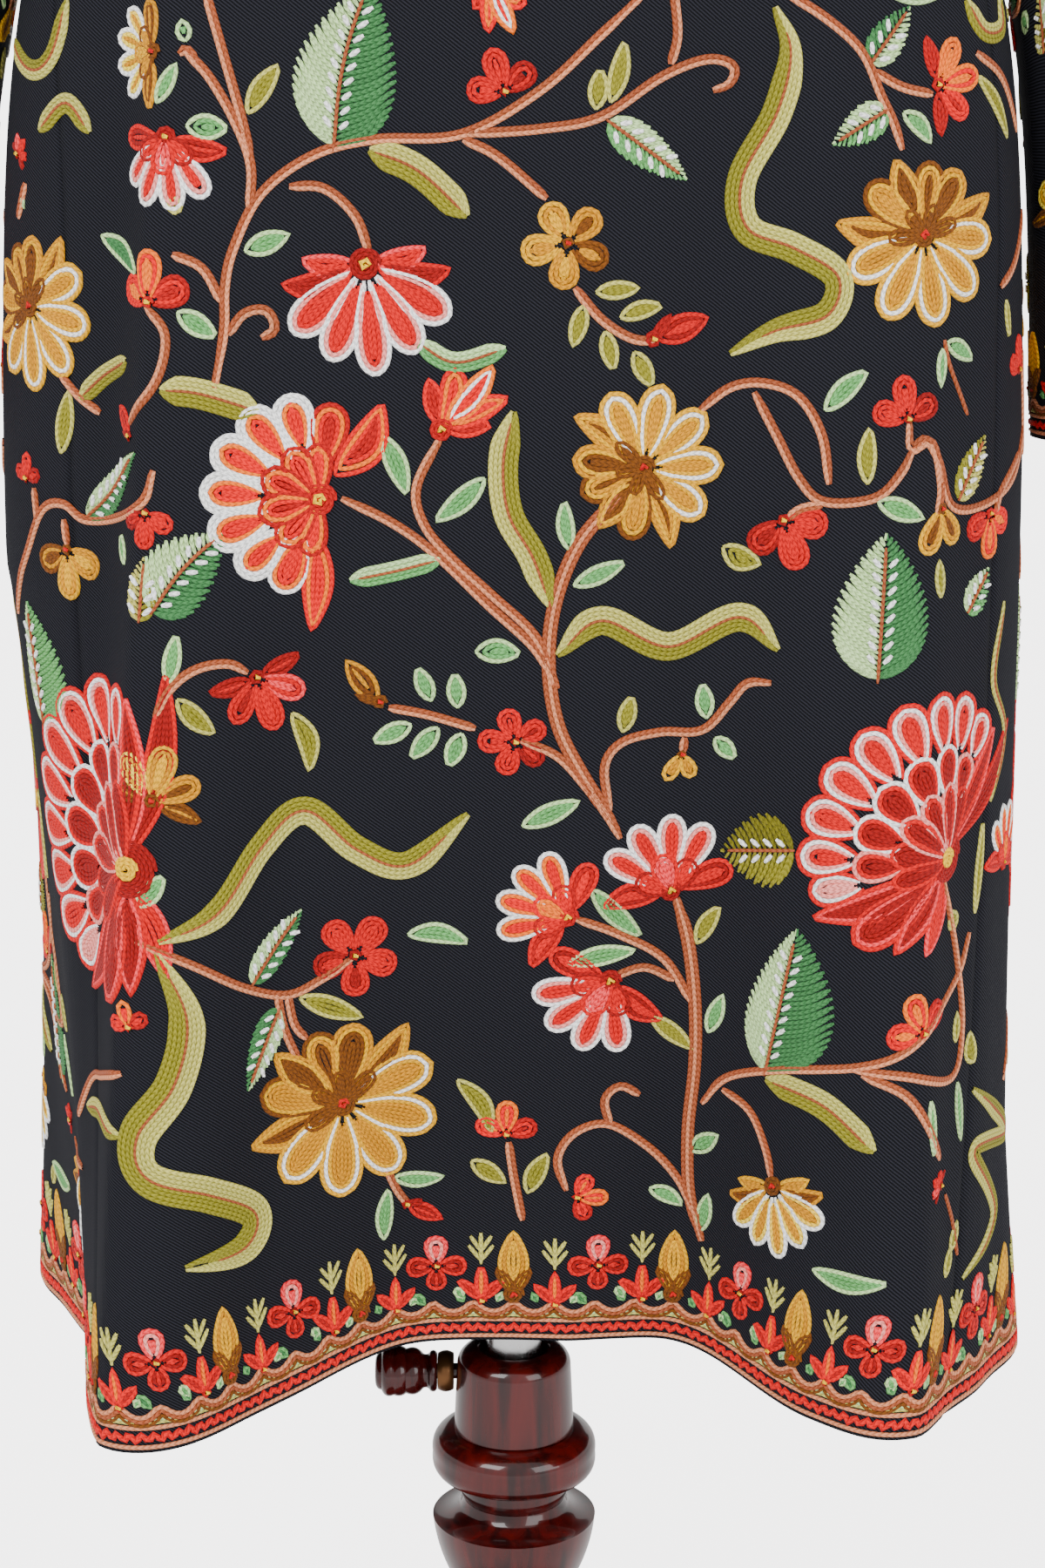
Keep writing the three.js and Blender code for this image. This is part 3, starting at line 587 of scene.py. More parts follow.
def twill_weave():
    """Slanting ridges of a wool twill, a little uneven, as a height and a shade; the shade paints the ridges
    light and the grooves dark.
    """
    made, given, out = group("Twill weave", Spacing=1.9, Slant=0.78, Wander=0.5)
    flat = put(made, "ShaderNodeTexCoord").outputs["UV"]
    parts = put(made, "ShaderNodeSeparateXYZ", _0=flat).outputs
    loose = noise(made, flat, 90.0, 2.0)
    place = maths(made, "ADD", maths(made, "MULTIPLY", parts[0], given["Slant"]), parts[1])
    place = maths(made, "DIVIDE", place, maths(made, "MULTIPLY", given["Spacing"], MM))
    place = maths(made, "ADD", place, maths(made, "MULTIPLY", loose, given["Wander"]))
    wave = maths(made, "SINE", maths(made, "MULTIPLY", place, 2 * math.pi))
    fine = noise(made, flat, 1400.0, 2.0)
    ridge = maths(made, "MULTIPLY_ADD", wave, 0.35, 0.35)
    height = maths(made, "ADD", ridge, maths(made, "MULTIPLY", fine, 0.5))
    # The height doubles as the shade: painted highlight on the ridges, painted shade in the grooves.
    for socket in (out["Height"], out["Shade"]):
        made.links.new(height, socket)
    return made


def chain_stitch():
    """The V-shaped links of a row of chain stitches, as a height and a shade; the shade is painted shade,
    darker in the grooves between links and towards the row's edges where rows meet.
    """
    made, given, out = group("Chain stitch", Link=3.4, Lean=0.5)
    flat = put(made, "ShaderNodeTexCoord").outputs["UV"]
    parts = put(made, "ShaderNodeSeparateXYZ", _0=flat).outputs
    side = maths(made, "ABSOLUTE", maths(made, "DIVIDE", parts[1], MM))
    along = maths(made, "DIVIDE", parts[0], maths(made, "MULTIPLY", given["Link"], MM))
    place = maths(made, "SUBTRACT", along, maths(made, "MULTIPLY", side, given["Lean"]))
    groove = maths(made, "PINGPONG", maths(made, "FRACT", place), 0.5)
    rise = maths(made, "SMOOTH_MIN", maths(made, "MULTIPLY", groove, 3.2), 1.0, 0.3)
    fuzz = noise(made, flat, 900.0, 3.0)
    height = maths(made, "ADD", maths(made, "MULTIPLY", rise, 0.7), maths(made, "MULTIPLY", fuzz, 0.5))
    # Painted shade: the row darkens towards its edges, where it meets the next row.
    painted_row_edge_shade = spread(made, side, 0.7, 1.25, 0.0, 0.5)
    made.links.new(height, out["Height"])
    made.links.new(maths(made, "SUBTRACT", height, painted_row_edge_shade), out["Shade"])
    return made


def placed(tree, grouped, **values):
    """A group put to work in a material; gives its outputs."""
    node = tree.nodes.new("ShaderNodeGroup")
    node.node_tree = grouped
    for name, value in values.items():
        node.inputs[name].default_value = value
    return node.outputs


def new_material(name, **values):
    made = bpy.data.materials.new(name)
    made.use_nodes = True
    shader = made.node_tree.nodes["Principled BSDF"]
    for label, value in values.items():
        shader.inputs[label.replace("_", " ")].default_value = value
    return made, made.node_tree, shader


RELIEF = {"strength": 0.7, "depth": 0.0008}  # how deep a weave or stitch looks; the depth in metres


def raised(tree, shader, height):
    bump = put(tree, "ShaderNodeBump", Strength=RELIEF["strength"], Distance=RELIEF["depth"], Height=height)
    tree.links.new(bump.outputs[0], shader.inputs["Normal"])


def wool_material(cloth):
    made, tree, shader = new_material("Black wool twill", Roughness=0.9, Specular_IOR_Level=0.12)
    weave = placed(tree, twill_weave(), Spacing=cloth.twill_spacing / MM)
    # Painted highlight and shade: the black wool runs from a darkened groove colour to a lightened ridge
    # colour with the weave's height.
    shade = spread(tree, weave["Shade"], 0.3, 0.95)
    colour = blend_colour(tree, shade, linear(cloth.wool_painted_groove_shade), linear(cloth.wool_painted_ridge_highlight))
    tree.links.new(colour, shader.inputs["Base Color"])
    raised(tree, shader, weave["Height"])
    return made


def thread_material():
    made, tree, shader = new_material(
        "Crewel wool stitches", Roughness=0.8, Specular_IOR_Level=0.22, Sheen_Weight=0.04
    )
    dyed = put(tree, "ShaderNodeVertexColor", settings={"layer_name": "Thread"}).outputs["Color"]
    stitch = placed(tree, chain_stitch())
    # Painted shade: the dye is mixed towards a darker copy of itself (deep) in the grooves between links and
    # between rows.
    shade = spread(tree, stitch["Shade"], 0.15, 0.85)
    deep = put(tree, "ShaderNodeHueSaturation", Saturation=1.1, Value=0.56, Color=dyed).outputs["Color"]
    tree.links.new(blend_colour(tree, shade, deep, dyed), shader.inputs["Base Color"])
    raised(tree, shader, stitch["Height"])
    return made


def varnish_material(stand):
    made, tree, shader = new_material(
        "Mahogany varnish", Roughness=0.22, Specular_IOR_Level=0.2, Coat_Weight=0.6, Coat_Roughness=0.05
    )
    place = put(tree, "ShaderNodeTexCoord").outputs["Object"]
    drawn = put(tree, "ShaderNodeMapping", Vector=place, Scale=(60.0, 60.0, 6.0)).outputs[0]
    share = spread(tree, noise(tree, drawn, 1.6, 6.0, 0.6), 0.35, 0.68)
    colour = blend_colour(tree, share, linear(stand.wood_dark), linear(stand.wood_light))
    tree.links.new(colour, shader.inputs["Base Color"])
    return made


def plain_material(name, colour, roughness, metallic=0.0, grain=0.0):
    """A plain finish with a faint uneven grain in its roughness."""
    made, tree, shader = new_material(name, Metallic=metallic)
    fine = noise(tree, put(tree, "ShaderNodeTexCoord").outputs["Object"], 240.0, 3.0)
    light = np.array(linear(colour))
    low, high = tuple(light * (1 - grain)), tuple(np.minimum(light * (1 + grain), 1))
    tree.links.new(blend_colour(tree, fine, low, high), shader.inputs["Base Color"])
    rough = spread(tree, fine, 0.3, 0.7, roughness * 0.85, roughness * 1.15)
    tree.links.new(rough, shader.inputs["Roughness"])
    return made


# ---- Pieces of cloth ----
def panel_grid(face):
    """Flat coordinates of a front or back panel, hem to shoulder, with its seam edges turned in."""
    c = np.linspace(-1, 1, COLUMNS["panel"] + 1)[None, :]
    rise = np.linspace(0, 1, ROWS["skirt"] + 1)[:, None]
    if face == "front":
        up = mix(hem_height(front_shift(HEM_Z) + c * front_half(HEM_Z)), ARMPIT_Z, rise)
        across = front_shift(up) + c * front_half(up)
    else:
        up = mix(np.full_like(c, HEM_Z), ARMPIT_Z, rise)
        across = c * back_half(up)
    half = FIELDS[face].half_at_armpit
    q = np.linspace(0, 1, ROWS["yoke"] + 1)[1:, None] * np.minimum(yoke_end(face, c), 0.999)
    across = np.concatenate([across, np.broadcast_to(c * half, q.shape)])
    return across, np.concatenate([up, ARMPIT_Z + q * YOKE_RUN])


def seam_turn(share, width):
    """How far the cloth dips where it is turned in at its seams, for places from -1 to 1."""
    from_edge = (1 - np.abs(share)) * width / 2
    return -SEAM_DIP * np.exp(-((from_edge / SEAM_SPREAD) ** 2))


def cloth_piece(name, field, across, up, dip, closed=False):
    flat = np.stack([across, up], -1)
    points = field.at(flat, dip)
    normals = field.at(flat, dip + 1.0) - points
    return shell(name, points, normals, flat, closed)


def finish_cloth(piece, node):
    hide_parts(node)
    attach(piece, "garment")


def stored_material(key, make, *given):
    """A material made once and kept by its key."""
    if key not in MATERIALS:
        MATERIALS[key] = make(*given)
    return MATERIALS[key]


MATERIALS = {}


class ClothSettings(bpy.types.PropertyGroup):
    """The wool of the garment."""

    twill_spacing: bpy.props.FloatProperty(
        name="Twill spacing", description="Distance between the slanting ridges", default=0.0019,
        unit="LENGTH"
    )
    # Painted shade: the black wool darkened in the twill's grooves.
    wool_painted_groove_shade: bpy.props.FloatVectorProperty(
        name="Wool between ridges", description="Wool's colour in the grooves", default=(0.02, 0.021, 0.03),
        subtype="COLOR_GAMMA"
    )
    # Painted highlight: the black wool lightened on the twill's ridges.
    wool_painted_ridge_highlight: bpy.props.FloatVectorProperty(
        name="Wool on ridges", description="Wool's colour on the ridges", default=(0.155, 0.158, 0.19),
        subtype="COLOR_GAMMA"
    )


class StandSettings(bpy.types.PropertyGroup):
    """The dress form and its stand."""

    wood_dark: bpy.props.FloatVectorProperty(
        name="Dark wood", description="Varnish over dark grain", default=(0.13, 0.02, 0.02),
        subtype="COLOR_GAMMA"
    )
    wood_light: bpy.props.FloatVectorProperty(
        name="Light wood", description="Varnish over light grain", default=(0.32, 0.045, 0.035),
        subtype="COLOR_GAMMA"
    )
    cover: bpy.props.FloatVectorProperty(
        name="Form cover", description="Jersey of the dress form", default=(0.88, 0.85, 0.78),
        subtype="COLOR_GAMMA"
    )


class StageSettings(bpy.types.PropertyGroup):
    """Light and floor."""

    key: bpy.props.FloatProperty(
        name="Key light", description="Power of the main soft light", default=78, unit="POWER"
    )
    fill: bpy.props.FloatProperty(
        name="Fill light", description="Power of the light opposite", default=41, unit="POWER"
    )
    floor: bpy.props.FloatVectorProperty(
        name="Floor", description="Pale floor", default=(0.93, 0.925, 0.925), subtype="COLOR_GAMMA"
    )
    surround: bpy.props.FloatProperty(
        name="Surround", description="Brightness of the pale room", default=1.2
    )
    glow: bpy.props.FloatProperty(
        name="Floor glow", description="Light of the lit sweep behind the garment", default=3.5
    )


class PHERAN_OT_panels(bpy.types.Operator):
    """Hang the front and the back panel"""

    bl_idname = "pheran.panels"
    bl_label = "Front and back"

    def execute(self, context):
        for face in ("front", "back"):
            across, up = panel_grid(face)
            share = np.linspace(-1, 1, COLUMNS["panel"] + 1)[None, :]
            dip = seam_turn(np.broadcast_to(share, up.shape), FRONT_WIDTH["armpit"])
            piece = cloth_piece(f"{face}_cloth", FIELDS[face], across, up, dip)
            finish_cloth(piece, f"{face}_panel")
        return {"FINISHED"}


class PHERAN_OT_gores(bpy.types.Operator):
    """Set the side gores between the front and the back"""

    bl_idname = "pheran.gores"
    bl_label = "Side gores"

    def execute(self, context):
        for side, name in ((-1, "left"), (1, "right")):
            up = np.linspace(HEM_Z, ARMPIT_Z, ROWS["skirt"] + 1)[:, None]
            share = np.linspace(0, 1, COLUMNS["gore"] + 1)[None, ::side]
            across = front_shift(up) + side * (front_half(up) + share * gore_width(up))
            up = np.broadcast_to(up, across.shape)
            dip = seam_turn(np.broadcast_to(share * 2 - 1, up.shape), gore_width(up))
            piece = cloth_piece(f"gore_{name}_cloth", FIELDS["front"], across, up, dip)
            finish_cloth(piece, f"gore_{name}")
        return {"FINISHED"}


class PHERAN_OT_sleeves(bpy.types.Operator):
    """Set in both sleeves"""

    bl_idname = "pheran.sleeves"
    bl_label = "Sleeves"

    def execute(self, context):
        for name, field in SLEEVE_FIELDS.items():
            across = np.linspace(-0.5, 0.5, COLUMNS["sleeve"] + 1)[None, :-1] * SLEEVE_ROUND
            up = np.linspace(0, SLEEVE_RUN, ROWS["sleeve"] + 1)[:, None]
            across, up = np.broadcast_arrays(across, up)
            flat_dip = np.zeros_like(up)
            piece = cloth_piece(f"sleeve_{name}_cloth", field, across, up, flat_dip, closed=True)
            finish_cloth(piece, f"sleeve_{name}")
        return {"FINISHED"}


class PHERAN_OT_neckband(bpy.types.Operator):
    """Stand the neckband round the neckline"""

    bl_idname = "pheran.neckband"
    bl_label = "Neckband"

    def execute(self, context):
        field = neck_field()
        points, normals = field.points[:, :-1], field.normals[:, :-1]
        flat = np.stack(np.meshgrid(field.across[:-1], field.up), -1)
        piece = shell("neckband_cloth", points, normals, flat, closed=True)
        finish_cloth(piece, "neckband")
        return {"FINISHED"}


def neck_field():
    """The neckband over flat coordinates: round the neck from the front's left, and up it."""
    reach = NECK_HALF / SHOULDER_HALF
    c = np.linspace(-reach, reach, COLUMNS["neck"] * 2 + 1)
    edge = np.concatenate([neckline("front", c[:-1]), neckline("back", c[::-1])])
    run = np.concatenate([[0], np.cumsum(np.linalg.norm(np.diff(edge, axis=0), axis=1))])
    across = np.linspace(0, run[-1], len(run))
    edge = np.stack([np.interp(across, run, edge[:, i]) for i in range(3)], -1)
    outward = edge - np.array([0, SHOULDER_Y, 0])
    outward[:, 2] = 0
    outward /= np.linalg.norm(outward, axis=1, keepdims=True)
    rows, tuck = [], NECKBAND["tuck"]
    for share in np.linspace(0, 1, NECKBAND["rows"]):
        row = edge - outward * (NECKBAND["inset"] + NECKBAND["lean"] * share)
        row[:, 2] += NECKBAND["gap"] - tuck + (NECKBAND["height"] + tuck) * share
        rows.append(row)
    return Field(across, np.linspace(0, NECKBAND["height"], NECKBAND["rows"]), np.array(rows))


def neckline(face, c):
    half = FIELDS[face].half_at_armpit
    across = c * half * (1 if face == "front" else -1)
    return FIELDS[face].at(np.stack([across, ARMPIT_Z + yoke_end(face, c) * YOKE_RUN], -1))


class PHERAN_OT_form(bpy.types.Operator):
    """Cover the dress form"""

    bl_idname = "pheran.form"
    bl_label = "Dress form"

    def execute(self, context):
        jersey = plain_material("Natural jersey", context.scene.pheran_stand.cover, 0.85, grain=0.06)
        height = np.array([row["height"] for row in FORM_SECTIONS], float)
        height = np.unique(np.concatenate([height, np.linspace(height[0], height[-1], FORM_LEVELS)]))
        row = {name: value[:, None] for name, value in form_at(height).items()}
        turn = 2 * math.pi * np.arange(FORM_SIDES) / FORM_SIDES
        c = power(np.cos(turn), 2 / FORM_SQUARENESS)[None, :]
        s = power(np.sin(turn), 2 / FORM_SQUARENESS)[None, :]
        y = row["middle"] + s * np.where(s < 0, row["front"], row["back"])
        x = row["half_width"] * c
        points = np.stack(np.broadcast_arrays(x, y, height[:, None]), -1)
        rim = [FORM_BORE * np.cos(turn), FORM_BORE * np.sin(turn), np.full(FORM_SIDES, height[0])]
        rim = np.stack(rim, -1)
        top = np.broadcast_to([0.0, FORM_SECTIONS[-1]["middle"], FORM_TOP], rim.shape)
        points = np.concatenate([rim, points.reshape(-1, 3), top])
        faces = ring_faces(len(height) + 2, FORM_SIDES)
        piece = object_of("form_cover", points, faces, jersey)
        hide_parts("torso")
        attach(piece, "garment")
        return {"FINISHED"}


class PHERAN_OT_stand(bpy.types.Operator):
    """Turn the stand, the pole and the clamp"""

    bl_idname = "pheran.stand"
    bl_label = "Stand"

    def execute(self, context):
        settings = context.scene.pheran_stand
        varnish = varnish_material(settings)
        steel = plain_material("Brushed steel", (0.78, 0.78, 0.78), 0.24, metallic=1.0, grain=0.03)
        aged = plain_material("Aged ferrule", (0.42, 0.28, 0.16), 0.35, metallic=0.8, grain=0.1)
        pole = [(0, POLE["bottom"]), (POLE["radius"], POLE["bottom"]), (POLE["radius"], POLE["top"]),
            (0, POLE["top"])]
        column = bowed(COLUMN)
        column = [(BORE_RADIUS, column[0][1]), *column, (BORE_RADIUS, column[-1][1])]
        base = [(0, 0), *bowed(BASE_OUTLINE), (0, 40)]
        clamp = {"sides": KNOB_SIDES, "middle": (0, KNOB["y"], KNOB["z"]), "toward_left": True}
        for name, outline, material, node, body, slot, way in (
            ("pole_tube", pole, steel, "pole", "pole", "steel", {}),
            ("column_turning", column, varnish, "column", "stand", "mahogany", {}),
            ("base_turning", base, varnish, "base", "stand", "mahogany", {}),
            ("clamp_collar", collar_outline(), varnish, "collar", "stand", "mahogany", {}),
            ("knob_turning", knob_outline(), varnish, "clamp_knob", "knob", "mahogany", clamp),
            ("knob_ferrule", ferrule_outline(), aged, "clamp_ferrule", "stand", "ferrule", clamp),
        ):
            piece = turned(name, outline, material, **way)
            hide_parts(node)
            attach(piece, body)
        return {"FINISHED"}


def collar_outline():
    part = COLLAR
    outline = [(BORE_RADIUS, part["bottom"]), (part["radius"] - 1, part["bottom"]),
        (part["radius"], part["bottom"] + 1)]
    for turn in np.linspace(0, math.pi / 2, 12):
        radius = mix(part["mouth"], part["top_radius"], math.cos(turn))
        outline.append((radius, part["top"] - part["round"] * (1 - math.sin(turn))))
    outline += [(part["mouth"] - 1, part["top"] - 1), (part["mouth"] - 1.5, part["top"] - part["recess"])]
    return outline + [(BORE_RADIUS, part["top"] - part["recess"]), (BORE_RADIUS, part["bottom"])]


def knob_outline():
    start = COLLAR["radius"] + KNOB["ferrule"] + 1
    length, radius, throat = KNOB["length"], KNOB["radius"], KNOB["ferrule_radius"]
    body = bowed([
        (throat, start, 0), (throat + 1, start + 4, 1), (throat - 0.5, start + 8, -1),
        (radius - 1, start + length * 0.5, 2), (radius, start + length * 0.7, 1),
        (radius - 3, start + length * 0.9, 2), (radius / 2, start + length, 1),
    ])
    return [(0, BORE_RADIUS + 1.5), (KNOB["shank"], BORE_RADIUS + 1.5), (KNOB["shank"], start), *body,
        (0, start + length)]


def ferrule_outline():
    inside = KNOB["shank"] + 0.3
    low, high = COLLAR["radius"] + 0.3, COLLAR["radius"] + KNOB["ferrule"] + 0.6
    radius = KNOB["ferrule_radius"]
    body = bowed([(radius, low, 0), (radius, high, 1.5)])
    return [(inside, low), *body, (inside, high), (inside, low)]


# ---- Stitches: rows of chain stitches drawn on the flat cloth ----
ROW_WIDTH = 2.65
ROW_SPACING = 2.35
ROW_HEIGHT = 1.0
SEED_STEP = 7.0
DRAWN_STEP = 1.5  # spacing of the points of a drawn row
STITCH_STEP = 3.2
BLADE_TAPER = 0.16  # the share of a long leaf that narrows at each end
WIDEST, FOOT = 0.66, 0.26  # a blunt petal's widest place and the width of its foot, as shares
ROW_SECTION = ((-0.5, -0.15), (-0.24, 0.86), (0.24, 0.86), (0.5, -0.15))  # share of width, share of height

# Threads, as everyday colours from 0 to 255.
THREADS = {
    "peach": (206, 148, 124), "terracotta": (150, 92, 74), "white": (255, 255, 253),
    "blush": (246, 166, 160),
    "pink": (234, 108, 110), "coral": (198, 38, 38), "crimson": (138, 8, 26), "salmon": (238, 134, 84),
    "vermilion": (214, 76, 8), "brick": (166, 40, 10), "cream": (248, 214, 130), "ochre": (214, 166, 10),
    "gold": (192, 140, 6), "brown": (108, 68, 36), "yellow": (240, 196, 30), "red": (190, 24, 28),
    "mist": (190, 214, 166), "green": (112, 160, 108), "deep green": (72, 114, 76), "straw": (188, 184, 124),
    "olive": (134, 130, 72), "dark olive": (106, 102, 52),
}
# What a petal's part is dyed in each colouring of a flower.
DYES = {
    "coral": {"rim": "white", "pale": "blush", "soft": "pink", "mid": "coral", "deep": "crimson",
        "eye": "yellow"},
    "orange": {"rim": "white", "pale": "salmon", "soft": "salmon", "mid": "vermilion", "deep": "brick",
        "eye": "yellow"},
    "ochre": {"rim": "white", "pale": "cream", "soft": "ochre", "mid": "gold", "deep": "brown",
        "eye": "red"},
    "red": {"rim": "coral", "pale": "pink", "soft": "coral", "mid": "red", "deep": "crimson",
        "eye": "yellow"},
}


def unit(v):
    return v / max(float(np.hypot(*v)), 1e-9)


def sideways(v):
    return np.array([-v[1], v[0]])


def run_along(line):
    """How far along a line each of its points is."""
    return np.concatenate([[0], np.cumsum(np.hypot(*np.diff(line, axis=0).T))])


def sides_of(line):
    """Which way is sideways at each point of a line."""
    slope = np.gradient(line, axis=0)
    slope /= np.maximum(np.hypot(slope[:, 0], slope[:, 1]), 1e-9)[:, None]
    return np.stack([-slope[:, 1], slope[:, 0]], -1)


def stretches(keep):
    """Where each unbroken stretch that is kept starts and ends, if it has two points or more."""
    edges = np.flatnonzero(np.diff(np.concatenate([[0], keep.astype(int), [0]])))
    return [(a, b) for a, b in zip(edges[::2], edges[1::2]) if b - a > 1]


def evenly(line, step):
    """A line's points spaced evenly along it."""
    line = np.asarray(line, float)
    run = run_along(line)
    count = max(2, int(round(run[-1] / step)) + 1)
    want = np.linspace(0, run[-1], count)
    return np.stack([np.interp(want, run, line[:, i]) for i in range(2)], -1)


def smooth(points, step=2.0):
    """A soft curve through a few points."""
    p = np.asarray(points, float)
    if len(p) < 3:
        return evenly(p, step)
    p = np.concatenate([[2 * p[0] - p[1]], p, [2 * p[-1] - p[-2]]])
    t = np.linspace(0, 1, 14, endpoint=False)[:, None]
    parts = []
    for a, b, c, d in zip(p, p[1:], p[2:], p[3:]):
        square, cube = 2 * a - 5 * b + 4 * c - d, 3 * b - 3 * c + d - a
        parts.append(0.5 * (2 * b + (c - a) * t + square * t**2 + cube * t**3))
    return evenly(np.concatenate([*parts, [p[-2]]]), step)


def beside(line, distance):
    """A line that runs beside another; the distance may change along it."""
    return line + sides_of(line) * np.broadcast_to(distance, len(line))[:, None]


class Work:
    """Rows of stitches on the flat cloth, each with its thread, width and lift."""

    def __init__(self):
        self.rows = []
        self.motif = 0  # whole flowers and leaves share a number; vines have 0

    def row(self, line, thread, lift=0.0, width=ROW_WIDTH):
        line = np.asarray(line, float)
        if len(line) > 1:
            self.rows.append((line, thread, lift, width, self.motif))

    def petal(self, base, tip, width, threads, blunt, bend=0.0, lift=0.0):
        """Rows inside one another: up one side of the petal, round its tip and down the other."""
        base, tip = np.asarray(base, float), np.asarray(tip, float)
        length, along = float(np.hypot(*(tip - base))), unit(tip - base)
        across = sideways(along)
        spacing = ROW_SPACING
        count = max(1, int(width / 2 / spacing + 0.35))
        for i in range(count):
            inset = spacing * (i + 0.5)
            half, end = width / 2 - inset, length - inset
            thread = threads[min(i, len(threads) - 1)]
            start = min(inset * (0.7 if blunt else 1.6), end * 0.6)
            s = np.linspace(0, 1, 14)
            if blunt:
                swell = np.where(s < WIDEST, FOOT + (1 - FOOT) * np.sin(s / WIDEST * math.pi / 2),
                                 np.sqrt(np.clip(1 - ((s - WIDEST) / (1 - WIDEST)) ** 2, 0, 1)))
            else:
                swell = np.sin(math.pi * s**0.9) ** 0.9
            sway = bend * np.sin(math.pi * s)
            x = start + (end - start) * s
            if half < spacing * 0.3:
                middle = base + x[:, None] * along + sway[:, None] * across
                self.row(evenly(middle, DRAWN_STEP), thread, lift)
                return
            out = base + x[:, None] * along + (sway + half * swell)[:, None] * across
            back = base + x[:, None] * along + (sway - half * swell)[:, None] * across
            self.row(evenly(np.concatenate([out, back[::-1]]), DRAWN_STEP), thread, lift)
        left = width / 2 - spacing * count
        if left > spacing * 0.05 and length - 2 * spacing * count > 0:
            s = np.linspace(0.2, 0.86, 8)[:, None]
            middle = base + along * (length * s) + across * (bend * np.sin(math.pi * s))
            self.row(evenly(middle, DRAWN_STEP), threads[min(count, len(threads) - 1)], lift)

    def dot(self, middle, radius, thread, lift):
        """A little coil of stitches."""
        turns = max(1.0, radius / ROW_SPACING)
        t = np.linspace(0, 1, int(14 * turns) + 4)
        spin = 2 * math.pi * turns * t
        r = np.maximum(radius - ROW_SPACING / 2, 0.4) * (1 - t) + 0.3
        self.row(middle + np.stack([r * np.cos(spin), r * np.sin(spin)], -1), thread, lift)

    def vine(self, line, threads):
        """Two or three rows side by side along a curve."""
        line = smooth(line, DRAWN_STEP)
        run = np.linspace(0, 1, len(line))
        for i, thread in enumerate(threads):
            off = (i - (len(threads) - 1) / 2) * ROW_SPACING
            taper = np.clip(np.minimum(run, 1 - run) * 14, 0.55, 1)
            self.row(beside(line, off * taper), thread, 0.1)

    def blade(self, line, width, light, dark):
        """A long leaf of rows side by side, one half light and one dark, with a rib between."""
        line = smooth(line, DRAWN_STEP)
        run = np.linspace(0, 1, len(line))
        shape = np.clip(np.minimum(run, 1 - run) / BLADE_TAPER, 0, 1) ** 0.75
        count = max(1, int(width / 2 / ROW_SPACING))
        for side, thread in ((1, light), (-1, dark)):
            for i in range(count):
                off = side * (i + 0.65) * ROW_SPACING * np.maximum(shape, 0.12)
                short = int(len(line) * 0.018 * (count - 1 - i))
                self.row(beside(line, off)[short : len(line) - short], thread, 0.12 * i)
        keep = (run > 0.05) & (run < 0.93)
        self.row(line[keep], "terracotta", 0.35, ROW_WIDTH * 0.6)

    def seed_leaf(self, base, tip, left, right, light, dark, bend):
        """A saw-edged leaf: slanting rows from its rib to its edge, and a line of seed stitches."""
        base, tip = np.asarray(base, float), np.asarray(tip, float)
        length, along = float(np.hypot(*(tip - base))), unit(tip - base)
        across = sideways(along)

        def place(s, off):
            sway = bend * math.sin(math.pi * min(max(s, 0), 1))
            return base + along * (length * s) + across * (sway + off)

        for side, half, thread in ((1, left, light), (-1, right, dark)):
            count = max(4, int(length / ROW_SPACING / 0.92))
            for i in range(count):
                end = 0.06 + 0.94 * i / (count - 1)
                start = max(0.0, (end - 0.27) / 0.73) * 0.95
                reach = half * math.sin(math.pi * min(1.0, end) ** 0.72) ** 0.75
                jag = 1.06 if i % 2 else 0.96
                middle = place(mix(start, end, 0.42), side * mix(0.7, reach, 0.58))
                slant = [place(start, side * 0.7), middle, place(end, side * reach * jag)]
                self.row(smooth(slant, DRAWN_STEP), thread)
        rib = [place(s, 0) for s in np.linspace(-0.04, 0.9, 8)]
        self.row(smooth(rib, DRAWN_STEP), "terracotta", 0.55, ROW_WIDTH * 0.7)
        for i in range(int(length * 0.8 / SEED_STEP)):
            s = 0.1 + i * SEED_STEP / length
            for side in (1, -1):
                seed = evenly([place(s, side * 2.2), place(s + 4.2 / length, side * 6.2)], 1.4)
                self.row(seed, "white", 1.1, 2.9)

    def flower(self, base, size, toward, plan, dyes):
        """A flower from its plan: petals about its base, measured against its size."""
        for row in PLANS[plan]:
            petal = dict(zip(PLAN_COLUMNS, row))
            turn = toward + math.radians(petal["turn"])
            way = np.array([math.cos(turn), math.sin(turn)])
            threads = [DYES[dyes][part] for part in petal["parts"].split()]
            start, end = base + way * size * petal["start"], base + way * size * petal["reach"]
            self.petal(start, end, size * petal["width"], threads, petal["blunt"], size * petal["bend"],
                petal["lift"])
        self.dot(base, max(3.2, size * 0.16), DYES[dyes]["deep"], 0.5)
        self.dot(base, max(2.6, size * 0.07), DYES[dyes]["eye"], 1.3)


